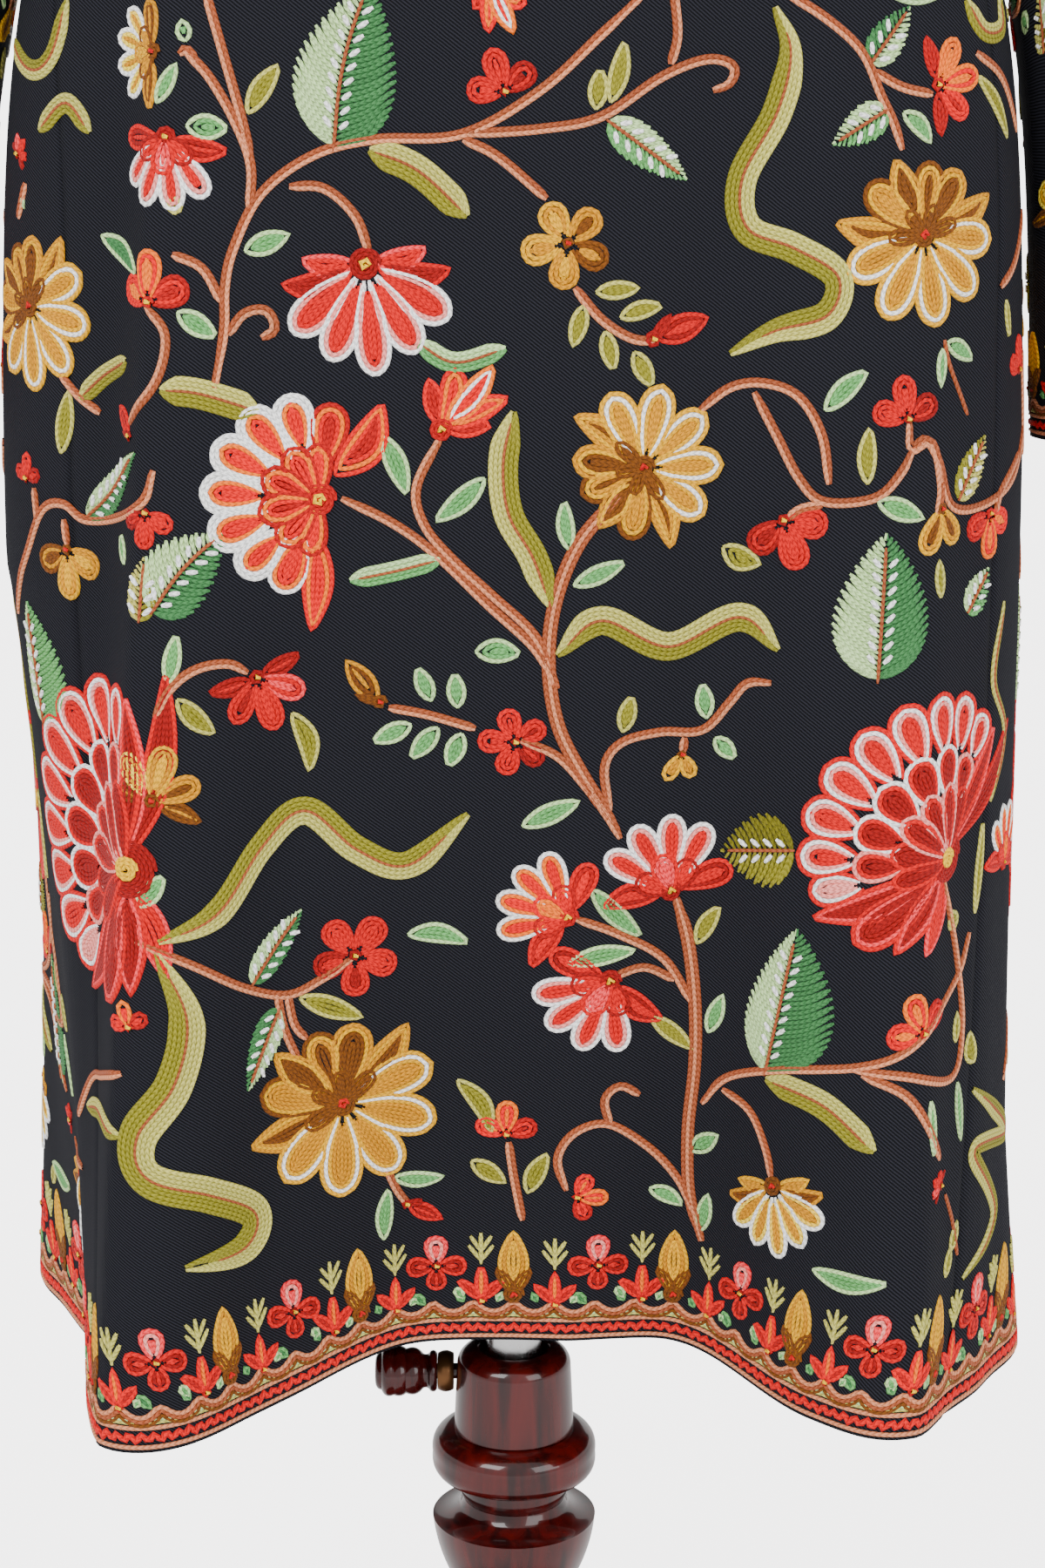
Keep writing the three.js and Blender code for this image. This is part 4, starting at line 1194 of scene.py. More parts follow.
# Petals of each flower: turn from its own direction in degrees, start, reach and width as shares
# of its size, blunt or pointed, sideways bend, the dyed parts from its edge inwards, and its lift.
PLAN_COLUMNS = ("turn", "start", "reach", "width", "blunt", "bend", "parts", "lift")
PLANS = {
    "winged fan": [
        (-100, 0.06, 0.6, 0.24, False, 0.05, "soft mid", 0.0),
        (100, 0.06, 0.6, 0.24, False, -0.05, "soft mid", 0.0),
        (-82, 0.08, 0.8, 0.3, False, 0.1, "mid deep", 0.1),
        (82, 0.08, 0.8, 0.3, False, -0.1, "mid deep", 0.1),
        (-53, 0.12, 0.92, 0.37, True, 0, "rim pale mid", 0.2),
        (53, 0.12, 0.92, 0.37, True, 0, "rim pale mid", 0.2),
        (-26, 0.12, 0.94, 0.35, True, 0, "rim pale mid", 0.3),
        (26, 0.12, 0.94, 0.35, True, 0, "rim pale mid", 0.3),
        (0, 0.16, 1.02, 0.34, True, 0, "rim pale mid", 0.4),
    ],
    "carnation": [
        (-118, 0.22, 1.0, 0.34, False, -0.08, "mid pale mid deep", 0.0),
        (-93, 0.3, 0.84, 0.34, True, 0, "deep pale mid deep", 0.1),
        (92, 0.26, 1.16, 0.28, False, 0.03, "mid pale mid", 0.0),
        (72, 0.34, 0.88, 0.34, True, 0, "rim pale mid", 0.0),
        (-68, 0.4, 0.94, 0.36, True, 0, "rim rim pale mid", 0.1),
        (-45, 0.4, 1.0, 0.38, True, 0, "rim rim pale mid", 0.2),
        (-22, 0.42, 1.02, 0.38, True, 0, "rim rim pale mid", 0.1),
        (1, 0.42, 1.02, 0.38, True, 0, "rim rim pale mid", 0.2),
        (24, 0.42, 1.0, 0.38, True, 0, "rim rim pale mid", 0.1),
        (48, 0.4, 0.94, 0.36, True, 0, "rim rim pale mid", 0.2),
        (-84, 0.04, 0.5, 0.26, True, 0, "deep pale mid", 0.4),
        (-54, 0.04, 0.52, 0.3, True, 0, "deep pale mid", 0.5),
        (54, 0.04, 0.52, 0.3, True, 0, "deep pale mid", 0.5),
        (-18, 0.04, 0.54, 0.3, True, 0, "deep pale mid deep", 0.6),
        (18, 0.04, 0.54, 0.3, True, 0, "deep pale mid deep", 0.7),
        (86, 0.04, 0.5, 0.26, True, 0, "deep pale mid", 0.4),
    ],
    "peony": [
        (-112, 0.06, 1.02, 0.16, False, -0.06, "mid deep", 0.0),
        (-100, 0.06, 0.86, 0.17, False, -0.03, "soft mid deep", 0.1),
        (45, 0.1, 0.92, 0.22, False, 0.04, "mid soft deep", 0.0),
        (62, 0.16, 0.76, 0.27, True, 0, "mid soft deep", 0.1),
        (80, 0.06, 0.64, 0.2, False, 0, "mid soft deep", 0.1),
        (99, 0.06, 0.58, 0.17, False, 0.02, "soft mid", 0.0),
        (-90, 0.58, 0.9, 0.24, True, 0, "mid rim pale mid", 0.0),
        (-75, 0.6, 0.97, 0.26, True, 0, "mid rim pale mid", 0.1),
        (-59, 0.62, 1.0, 0.27, True, 0, "mid rim pale mid", 0.0),
        (-43, 0.62, 1.02, 0.27, True, 0, "mid rim pale mid", 0.1),
        (-27, 0.62, 1.02, 0.27, True, 0, "mid rim pale mid", 0.0),
        (-11, 0.62, 1.02, 0.27, True, 0, "mid rim pale mid", 0.1),
        (5, 0.62, 1.0, 0.27, True, 0, "mid rim pale mid", 0.0),
        (21, 0.6, 0.97, 0.26, True, 0, "mid rim pale mid", 0.1),
        (35, 0.56, 0.9, 0.22, True, 0, "mid rim pale", 0.0),
        (-84, 0.34, 0.62, 0.2, True, 0, "pale mid deep", 0.4),
        (-62, 0.36, 0.68, 0.23, True, 0, "rim mid deep", 0.5),
        (-40, 0.36, 0.69, 0.24, True, 0, "rim mid deep", 0.4),
        (-18, 0.36, 0.69, 0.24, True, 0, "rim mid deep", 0.5),
        (4, 0.36, 0.68, 0.23, True, 0, "rim mid deep", 0.4),
        (24, 0.34, 0.64, 0.2, True, 0, "pale mid deep", 0.5),
        (-88, 0.05, 0.44, 0.15, True, 0, "mid deep", 0.8),
        (-64, 0.05, 0.46, 0.18, True, 0, "pale mid deep", 0.9),
        (-38, 0.05, 0.46, 0.19, True, 0, "pale mid deep", 0.8),
        (-12, 0.05, 0.46, 0.19, True, 0, "pale mid deep", 0.9),
        (14, 0.05, 0.44, 0.18, True, 0, "mid deep", 0.8),
        (38, 0.05, 0.42, 0.15, True, 0, "mid deep", 0.9),
    ],
    "fan": [
        (-84, 0.12, 0.84, 0.36, True, 0, "mid deep mid", 0.0),
        (84, 0.08, 0.9, 0.34, False, -0.06, "mid deep mid", 0.0),
        (-45, 0.2, 0.98, 0.38, True, 0, "rim pale mid", 0.2),
        (-17, 0.2, 1.0, 0.38, True, 0, "rim pale mid", 0.1),
        (12, 0.2, 1.0, 0.38, True, 0, "rim pale mid", 0.2),
        (41, 0.2, 0.98, 0.38, True, 0, "rim pale mid", 0.1),
        (-52, 0.0, 0.5, 0.34, True, 0, "deep mid", 0.5),
        (52, 0.0, 0.5, 0.34, True, 0, "deep mid", 0.5),
        (0, 0.0, 0.52, 0.36, True, 0, "mid soft", 0.7),
    ],
    "clematis": [
        (104, 0.1, 1.04, 0.38, False, -0.07, "mid soft mid deep", 0.0),
        (134, 0.1, 0.84, 0.42, True, 0, "mid soft deep", 0.1),
        (164, 0.1, 0.8, 0.4, True, 0, "deep soft mid deep", 0.0),
        (-166, 0.1, 0.9, 0.38, False, 0.02, "mid soft deep", 0.2),
        (-138, 0.1, 0.88, 0.42, True, 0, "deep soft mid", 0.1),
        (-108, 0.1, 1.06, 0.38, False, 0.07, "mid soft mid deep", 0.0),
        (76, 0.1, 0.98, 0.46, True, 0, "soft rim soft mid", 0.2),
        (38, 0.1, 1.0, 0.46, True, 0, "soft rim soft mid", 0.3),
        (0, 0.1, 1.0, 0.46, True, 0, "soft rim soft mid", 0.2),
        (-38, 0.1, 1.0, 0.46, True, 0, "soft rim soft mid", 0.3),
        (-76, 0.1, 0.98, 0.46, True, 0, "soft rim soft mid", 0.2),
        (98, 0.0, 0.46, 0.2, True, 0, "deep", 0.7),
        (-96, 0.0, 0.46, 0.2, True, 0, "deep", 0.7),
        (150, 0.0, 0.36, 0.18, True, 0, "deep", 0.7),
        (-150, 0.0, 0.36, 0.18, True, 0, "deep", 0.7),
    ],
    "blossom": [
        (0, 0.1, 1.0, 0.66, True, 0, "soft soft mid", 0.0),
        (72, 0.1, 0.95, 0.64, True, 0, "mid mid soft", 0.1),
        (144, 0.1, 0.92, 0.62, True, 0, "deep deep mid", 0.0),
        (-144, 0.1, 0.92, 0.62, True, 0, "mid mid deep", 0.1),
        (-72, 0.1, 0.95, 0.64, True, 0, "soft mid soft", 0.0),
    ],
    "half blossom": [
        (-96, 0.06, 0.94, 0.34, False, 0.03, "deep deep mid", 0.0),
        (96, 0.06, 0.94, 0.34, False, -0.03, "deep deep mid", 0.0),
        (-50, 0.08, 0.92, 0.46, True, 0, "mid mid deep", 0.1),
        (50, 0.08, 0.96, 0.48, True, 0, "pale soft pale", 0.1),
        (0, 0.08, 1.04, 0.5, True, 0, "soft mid soft", 0.3),
    ],
    "trefoil": [
        (-66, 0.06, 0.92, 0.64, True, 0, "deep mid deep", 0.0),
        (66, 0.06, 0.92, 0.64, True, 0, "mid mid soft", 0.0),
        (0, 0.08, 1.06, 0.62, True, 0, "soft mid soft", 0.2),
    ],
    "quatrefoil": [
        (180, 0.08, 0.84, 0.64, True, 0, "mid deep mid", 0.0),
        (-90, 0.08, 0.92, 0.7, True, 0, "mid deep mid", 0.1),
        (90, 0.08, 0.92, 0.7, True, 0, "mid deep mid", 0.1),
        (0, 0.1, 1.04, 0.72, True, 0, "soft pale soft", 0.2),
    ],
    "tulip": [
        (-30, 0.02, 0.62, 0.28, False, 0.02, "mid deep", 0.0),
        (40, 0.02, 0.78, 0.34, True, -0.03, "mid pale mid", 0.1),
        (15, 0.04, 1.02, 0.34, False, -0.03, "pale rim mid", 0.3),
        (-10, 0.04, 0.92, 0.32, False, 0.03, "mid soft mid", 0.2),
        (68, 0.02, 0.66, 0.28, False, 0, "mid deep", 0.0),
    ],
    "prongs": [
        (-44, 0.0, 0.84, 0.3, False, 0.03, "mid deep", 0.1),
        (44, 0.0, 0.84, 0.3, False, -0.03, "mid deep", 0.1),
        (0, 0.0, 1.0, 0.32, False, 0, "mid pale", 0.3),
    ],
    "bud": [(0, 0.0, 1.0, 0.46, False, 0, "mid deep mid", 0.0),
        (34, -0.08, 0.5, 0.2, False, 0, "deep", 0.2)],
    "closed bud": [
        (0, 0.0, 1.0, 0.42, False, 0, "soft mid soft", 0.0),
        (-30, 0.0, 0.5, 0.19, False, 0.02, "deep", 0.3),
        (30, 0.0, 0.5, 0.19, False, -0.02, "deep", 0.3),
    ],
    "pair": [
        (-26, 0.02, 1.0, 0.56, True, 0, "soft mid deep", 0.0),
        (34, 0.02, 0.9, 0.56, True, 0, "soft mid deep", 0.1),
    ],
}

# ---- The chart of the front, in places of a 1200 by 1800 drawing seen by the camera ----
FLOWER_COLUMNS = ("plan", "x", "y", "tip_x", "tip_y", "dyes")
CHART_SCALE = 2.2  # places of the chart to a millimetre of cloth that faces the camera
STEP_REACH = 1.6  # longest step of a curve on the cloth, against its step on the chart
FLOWERS = [
    ("winged fan", 419, 304, 430, 424, "coral"),
    ("carnation", 366, 574, 236, 560, "orange"),
    ("peony", 1085, 985, 905, 905, "coral"),
    ("peony", 146, 998, -82, 1026, "coral"),
    ("fan", 770, 1022, 742, 930, "coral"),
    ("fan", 652, 1053, 574, 1012, "orange"),
    ("fan", 700, 1126, 646, 1206, "coral"),
    ("clematis", 738, 537, 812, 478, "ochre"),
    ("clematis", 1060, 270, 1078, 372, "ochre"),
    ("clematis", 393, 1266, 462, 1368, "ochre"),
    ("clematis", 36, 352, 98, 426, "ochre"),
    ("winged fan", 888, 1362, 908, 1450, "ochre"),
    ("winged fan", 97, 1350, 110, 1448, "ochre"),
    ("fan", 176, 60, 106, 62, "ochre"),
    ("fan", 190, 158, 182, 238, "coral"),
    ("half blossom", 174, 920, 196, 858, "ochre"),
    ("blossom", 652, 280, 600, 290, "ochre"),
    ("half blossom", 1076, 98, 1136, 86, "orange"),
    ("trefoil", 580, 106, 565, 62, "red"),
    ("trefoil", 1042, 482, 1036, 435, "red"),
    ("trefoil", 900, 598, 918, 650, "red"),
    ("half blossom", 294, 778, 316, 838, "red"),
    ("blossom", 592, 852, 548, 850, "red"),
    ("blossom", 407, 1097, 440, 1052, "red"),
    ("trefoil", 1060, 1188, 1040, 1142, "orange"),
    ("trefoil", 581, 1302, 583, 1258, "orange"),
    ("trefoil", 662, 1374, 700, 1376, "orange"),
    ("half blossom", 1078, 1362, 1058, 1350, "red"),
    ("trefoil", 1135, 590, 1138, 640, "orange"),
    ("trefoil", 170, 348, 170, 292, "orange"),
    ("half blossom", 22, 178, 40, 160, "red"),
    ("trefoil", 78, 632, 76, 686, "ochre"),
    ("pair", 782, 866, 778, 902, "ochre"),
    ("trefoil", 167, 590, 164, 628, "red"),
    ("trefoil", 32, 550, 34, 520, "red"),
    ("tulip", 507, 494, 582, 440, "orange"),
    ("tulip", 560, -30, 572, 38, "orange"),
    ("bud", 750, 390, 816, 366, "red"),
    ("bud", 150, 502, 118, 468, "red"),
    ("bud", 436, 806, 398, 756, "ochre"),
    ("bud", 466, 1382, 512, 1406, "red"),
    ("fan", 1150, 990, 1152, 915, "orange"),
    ("pair", 1080, 585, 1082, 640, "ochre"),
    ("trefoil", 1168, 425, 1166, 385, "red"),
    ("trefoil", 148, 1180, 142, 1150, "orange"),
]

LEAF_COLUMNS = ("x", "y", "tip_x", "tip_y", "width", "bend", "edge", "inside")
LEAFLETS = [
    (684, 130, 690, 76, 7, 0, "straw", "olive"), (700, 122, 718, 44, 7, -1, "straw", "olive"),
    (1034, 126, 1070, 166, 7, 2, "mist", "green"), (1120, 84, 1156, 160, 6, 3, "straw", "olive"),
    (680, 336, 737, 330, 6.5, 0, "straw", "olive"), (708, 366, 763, 350, 6.5, 1, "straw", "olive"),
    (672, 346, 657, 401, 6.5, 0, "straw", "olive"), (694, 376, 705, 428, 6.5, 0, "straw", "olive"),
    (726, 400, 750, 446, 7, 0, "straw", "olive"), (944, 474, 998, 424, 8, 1, "mist", "green"),
    (996, 560, 999, 488, 7, 1, "straw", "olive"), (1004, 574, 1062, 596, 8, 0, "mist", "green"),
    (1084, 392, 1120, 416, 7, 1, "mist", "green"), (1082, 396, 1080, 446, 4.5, 0, "mist", "green"),
    (655, 636, 648, 572, 6.5, 1, "mist", "green"), (655, 674, 720, 644, 7, 0, "mist", "green"),
    (596, 950, 668, 918, 8, 0, "mist", "green"), (714, 844, 726, 796, 7, 0, "straw", "olive"),
    (812, 828, 806, 782, 7, 0, "mist", "green"), (818, 844, 846, 872, 7, 0, "mist", "green"),
    (826, 626, 876, 648, 9, -2, "straw", "olive"), (676, 1018, 738, 1076, 8, -1, "mist", "green"),
    (648, 1106, 732, 1090, 8, 1, "mist", "green"), (798, 1086, 828, 1038, 7, 1, "straw", "olive"),
    (744, 1164, 798, 1206, 7, 0, "straw", "olive"), (812, 1188, 831, 1140, 7, 0, "mist", "green"),
    (790, 1322, 826, 1302, 8, 0, "mist", "green"), (742, 1362, 786, 1384, 7, 1, "mist", "green"),
    (804, 1416, 814, 1368, 7, 0, "mist", "green"), (930, 1456, 1022, 1474, 8, -3, "mist", "green"),
    (282, 134, 322, 72, 7.5, 1, "straw", "olive"), (210, 144, 264, 148, 9, 0, "mist", "green"),
    (277, 290, 334, 268, 8, 0, "mist", "green"), (200, 356, 251, 388, 8, 0, "mist", "green"),
    (114, 268, 159, 318, 8, 1, "mist", "deep green"), (178, 122, 204, 70, 6, 0, "mist", "green"),
    (214, 52, 208, 20, 6, 0, "mist", "green"), (438, 496, 468, 570, 8, 1, "mist", "green"),
    (560, 546, 498, 600, 8, 1, "mist", "green"), (542, 748, 600, 750, 9, 1, "mist", "green"),
    (497, 808, 478, 764, 7, 0, "mist", "green"), (526, 816, 522, 770, 7, 0, "mist", "green"),
    (476, 830, 426, 852, 7.5, 0, "mist", "green"), (506, 832, 470, 872, 7.5, 0, "mist", "green"),
    (532, 838, 514, 882, 7.5, 0, "mist", "green"), (192, 790, 203, 726, 6.5, 0, "mist", "green"),
    (200, 800, 248, 844, 8, -1, "straw", "olive"), (334, 814, 356, 888, 8, 4, "straw", "olive"),
    (155, 1044, 190, 1004, 8, 0, "mist", "green"), (464, 1072, 541, 1082, 8, 3, "mist", "green"),
    (340, 1144, 419, 1168, 8.5, 0, "straw", "olive"), (523, 1236, 566, 1302, 8, 4, "straw", "olive"),
    (538, 1330, 582, 1358, 8, 0, "straw", "olive"), (604, 1372, 630, 1322, 8, 1, "straw", "olive"),
    (448, 1352, 512, 1350, 7, -2, "mist", "green"), (440, 1426, 446, 1362, 7.5, 1, "mist", "green"),
    (70, 524, 80, 446, 8, 0, "straw", "olive"), (144, 652, 140, 610, 6, 0, "mist", "green"),
    (200, 250, 202, 222, 6, 0, "straw", "olive"), (44, 1210, 42, 1164, 5, 0, "mist", "green"),
    (62, 1360, 64, 1330, 5, 0, "straw", "olive"), (76, 1440, 66, 1378, 6, 0, "mist", "green"),
    (1068, 1260, 1072, 1330, 5, 0, "mist", "green"), (1098, 1238, 1102, 1310, 5, 0, "mist", "green"),
    (1096, 1200, 1098, 1160, 5, 0, "straw", "olive"), (1118, 1222, 1112, 1182, 8, 2, "straw", "olive"),
    (1090, 1440, 1098, 1400, 6, 0, "straw", "olive"), (1084, 1470, 1090, 1430, 6, 0, "straw", "olive"),
    (1096, 1068, 1090, 1044, 8, 0, "straw", "olive"), (1130, 1090, 1152, 1074, 8, 0, "mist", "green"),
    (1118, 1052, 1128, 940, 5, 0, "straw", "olive"), (24, 236, 30, 228, 6, 0, "mist", "green"),
    (1080, 690, 1078, 640, 5, 0, "straw", "olive"), (1154, 340, 1158, 390, 4, 0, "straw", "olive"),
]

# Long two-coloured leaves: width, light and dark thread, and the line that they follow.
BLADE_COLUMNS = ("width", "light", "dark", "line")
BLADES = [
    (17, "straw", "olive",
        [(890, 8), (908, 60), (892, 130), (852, 205), (858, 262), (912, 285), (962, 318), (950, 362),
            (890, 380), (838, 406)]),
    (16, "olive", "straw", [(590, 472), (578, 530), (584, 590), (612, 640), (632, 696)]),
    (18, "straw", "olive", [(640, 752), (690, 712), (768, 742), (850, 708), (894, 746)]),
    (18, "olive", "straw",
        [(182, 1082), (250, 1048), (300, 972), (350, 930), (410, 975), (470, 992), (538, 934)]),
    (19, "straw", "olive",
        [(180, 1094), (214, 1170), (200, 1245), (158, 1305), (168, 1352), (240, 1372), (292, 1392),
            (280, 1432), (212, 1456)]),
    (15, "straw", "olive", [(424, 172), (480, 196), (537, 248)]),
    (12, "mist", "green", [(478, 392), (522, 416), (581, 400)]),
    (16, "straw", "olive", [(184, 448), (228, 452), (296, 472)]),
    (12, "green", "mist", [(506, 642), (460, 654), (402, 666)]),
    (15, "straw", "olive", [(880, 1238), (944, 1268), (1004, 1322)]),
    (11, "straw", "olive", [(46, 150), (76, 118), (104, 152)]),
    (13, "olive", "straw", [(14, 40), (36, 80), (60, 64), (78, 0)]),
    (10, "straw", "olive", [(92, 458), (122, 430), (146, 414)]),
    (11, "straw", "olive", [(84, 1246), (112, 1268), (138, 1304)]),
    (9, "olive", "straw", [(1152, 690), (1140, 780), (1152, 840), (1136, 920)]),
    (12, "olive", "straw", [(1146, 1120), (1140, 1230), (1112, 1310), (1140, 1390), (1104, 1468)]),
    (12, "straw", "olive", [(1108, 0), (1130, 36), (1158, 30), (1166, -10)]),
]

SEED_COLUMNS = ("x", "y", "tip_x", "tip_y", "left", "right", "light", "dark", "bend")
SEED_LEAVES = [
    (384, 166, 424, -20, 22, 26, "mist", "deep green", 4),
    (1008, 778, 1018, 612, 24, 24, "mist", "deep green", 0),
    (880, 1228, 916, 1066, 18, 30, "mist", "deep green", 0),
    (176, 702, 256, 612, 17, 17, "mist", "deep green", 3),
    (52, 828, 32, 690, 12, 26, "mist", "green", 0),
    (72, 1232, 60, 1094, 14, 20, "mist", "deep green", 0),
    (910, 976, 828, 976, 19, 19, "olive", "dark olive", 0),
    (30, 1040, 18, 980, 10, 16, "straw", "olive", 0),
    (700, 140, 788, 206, 9, 9, "mist", "green", 0),
    (1000, 72, 1044, 8, 9, 9, "deep green", "mist", 0),
    (1018, 126, 956, 166, 9, 9, "green", "mist", 0),
    (290, 1128, 346, 1044, 8, 8, "mist", "deep green", 0),
    (320, 1158, 284, 1252, 8, 9, "mist", "deep green", 0),
    (102, 592, 168, 508, 8, 9, "mist", "deep green", 0),
    (1100, 572, 1130, 500, 9, 10, "olive", "straw", 0),
    (1110, 702, 1134, 652, 9, 10, "mist", "green", 0),
    (160, 712, 166, 640, 8, 8, "straw", "olive", 0),
]

VINE_ROWS = {1: ("terracotta",), 2: ("peach", "terracotta"), 3: ("terracotta", "peach", "terracotta")}
VINES = [
    (2, [(246, 446), (257, 380), (258, 330), (268, 285), (300, 222), (360, 178), (430, 160), (530, 154),
        (620, 104), (690, 40), (738, -6)]),
    (2, [(530, 154), (620, 148), (690, 134), (760, 88), (812, 68), (843, 76), (838, 96), (818, 104)]),
    (2, [(770, 74), (778, 40), (774, -8)]),
    (2, [(532, 160), (572, 180), (628, 228)]),
    (2, [(212, 58), (240, 88), (270, 140), (288, 190), (286, 242)]),
    (2, [(236, -10), (256, 60), (276, 130), (288, 180)]),
    (2, [(206, 62), (214, 56), (226, 70)]),
    (2, [(332, 214), (372, 216), (408, 248), (424, 290)]),
    (2, [(198, 292), (232, 308), (254, 346)]),
    (2, [(262, 384), (280, 360), (306, 356), (316, 378), (300, 388)]),
    (2, [(392, 572), (450, 600), (500, 636), (560, 694), (612, 742), (634, 778)]),
    (2, [(506, 502), (478, 560), (488, 604), (520, 642), (566, 684), (616, 732), (640, 790)]),
    (3, [(714, 566), (666, 622), (638, 690), (630, 760), (640, 830), (668, 888), (704, 944)]),
    (2, [(598, 850), (640, 868), (672, 902), (700, 940), (712, 962)]),
    (2, [(802, 472), (840, 444), (880, 440), (918, 456), (944, 500), (952, 556)]),
    (2, [(866, 450), (892, 500), (918, 550), (946, 576), (1004, 572), (1034, 544), (1048, 516)]),
    (2, [(1044, 484), (1046, 516), (1062, 504), (1078, 530), (1092, 580), (1130, 580), (1166, 540),
        (1174, 480)]),
    (2, [(1046, 520), (1070, 508), (1080, 560), (1076, 590)]),
    (2, [(944, 580), (920, 584), (904, 596)]),
    (2, [(1142, 590), (1150, 560), (1168, 520)]),
    (2, [(446, 812), (490, 820), (546, 836)]),
    (2, [(178, 824), (196, 790), (226, 768), (262, 762), (284, 772)]),
    (2, [(156, 1080), (220, 1108), (280, 1134), (330, 1142), (372, 1122), (404, 1100)]),
    (2, [(318, 1140), (326, 1180), (342, 1216)]),
    (2, [(330, 1142), (338, 1176), (352, 1192)]),
    (3, [(776, 1030), (790, 1080), (798, 1150), (798, 1220), (790, 1300), (792, 1370), (806, 1424)]),
    (2, [(660, 1054), (710, 1072), (762, 1100), (794, 1150)]),
    (2, [(706, 1120), (740, 1110), (774, 1124)]),
    (2, [(700, 930), (694, 880), (714, 852), (758, 840), (806, 838), (838, 806), (858, 784), (886, 784)]),
    (2, [(786, 846), (784, 864)]),
    (2, [(806, 1266), (836, 1236), (900, 1228), (980, 1226), (1040, 1208), (1078, 1160), (1100, 1116),
        (1112, 1070)]),
    (2, [(980, 1228), (1040, 1236), (1100, 1236), (1112, 1180), (1106, 1100), (1090, 1010)]),
    (2, [(990, 1234), (1040, 1258), (1068, 1300), (1078, 1330)]),
    (2, [(830, 1250), (862, 1276), (880, 1320), (886, 1352)]),
    (2, [(650, 1366), (640, 1330), (660, 1300), (698, 1290), (744, 1316), (778, 1352), (796, 1390)]),
    (2, [(700, 1290), (694, 1262), (712, 1246), (734, 1256)]),
    (2, [(584, 1310), (590, 1350), (600, 1400)]),
    (2, [(444, 1342), (456, 1366), (470, 1384)]),
    (2, [(660, 330), (690, 366), (724, 388), (752, 392)]),
    (2, [(168, 352), (190, 386), (178, 440), (150, 486)]),
    (2, [(70, 430), (92, 456), (116, 474)]),
    (2, [(900, -10), (950, 22), (990, 60), (1012, 110), (1026, 140), (1036, 172)]),
    (2, [(1004, 82), (1036, 100), (1070, 108)]),
    (1, [(1084, 390), (1090, 420), (1110, 476)]),
    (2, [(14, 700), (22, 640), (36, 590), (58, 584), (80, 602), (120, 600), (160, 580), (176, 540)]),
    (2, [(74, 596), (78, 626)]),
    (2, [(22, 250), (30, 210)]),
    (2, [(56, 1300), (66, 1250), (92, 1236), (140, 1232)]),
    (2, [(64, 1272), (84, 1290), (96, 1340)]),
    (2, [(40, 560), (44, 600)]),
    (2, [(1120, 60), (1150, 90), (1166, 150)]),
    (2, [(1148, 330), (1164, 300), (1172, 240)]),
    (2, [(1172, 400), (1172, 520)]),
    (1, [(1084, 1370), (1092, 1400), (1098, 1440)]),
]


# The hem's border: one repeat, across and above the hem in millimetres, and the rows that run the whole way.
BORDER_REPEAT = 90
BORDER_FLOWER_COLUMNS = ("plan", "x", "up", "size", "dyes")
BORDER_FLOWERS = [
    ("closed bud", 0, 30, 42, "ochre"),
    ("prongs", 23, 24, 22, "orange"),
    ("quatrefoil", 47, 49, 19, "coral"),
    ("prongs", 72, 26, 24, "orange"),
]
BORDER_LEAVES = [
    (33, 33, 41, 24, 7, 1, "green", "deep green"), (57, 36, 62, 27, 7, -1, "mist", "green"),
    (14, 24, 10, 32, 6, 0, "green", "deep green"), (31, 24, 36, 31, 6, 0, "mist", "green"),
    (63, 24, 58, 32, 6, 0, "green", "deep green"), (80, 24, 84, 32, 6, 0, "mist", "green"),
]
BORDER_SPRIGS = [(23, 47), (72, 50)]
SPRIG_PRONGS = [(0, 0, 0, 20), (0, 2, -7, 12), (0, 2, 7, 12), (0, 8, -6, 18), (0, 8, 6, 18)]
BORDER_LINES = [(3.0, "peach", ROW_WIDTH), (13.6, "peach", ROW_WIDTH)]
ZIGZAG = {"up": 8.3, "rise": 2.6, "period": 6.6, "width": 3.8}
NECK_ROWS = (7, 18)
BORDER_VINE = {"up": 20.5, "rise": 3.6, "period": 45}
BORDER_FILLS = {"up": 16.2, "period": 22.5, "rows": 3, "reach": 7.5, "less": 3, "apart": 1.7, "width": 2.4}


VIVID = 1.4  # how much stronger the dyes are than their tabled colours
CHART_ROUNDS = 6  # rounds of closing in on a place of the chart
CHART_STRIDE = 6  # the furthest one round goes
EDGE_ON = 0.35  # below this the cloth is seen edge on


def table(columns, rows):
    return [dict(zip(columns, row)) for row in rows]


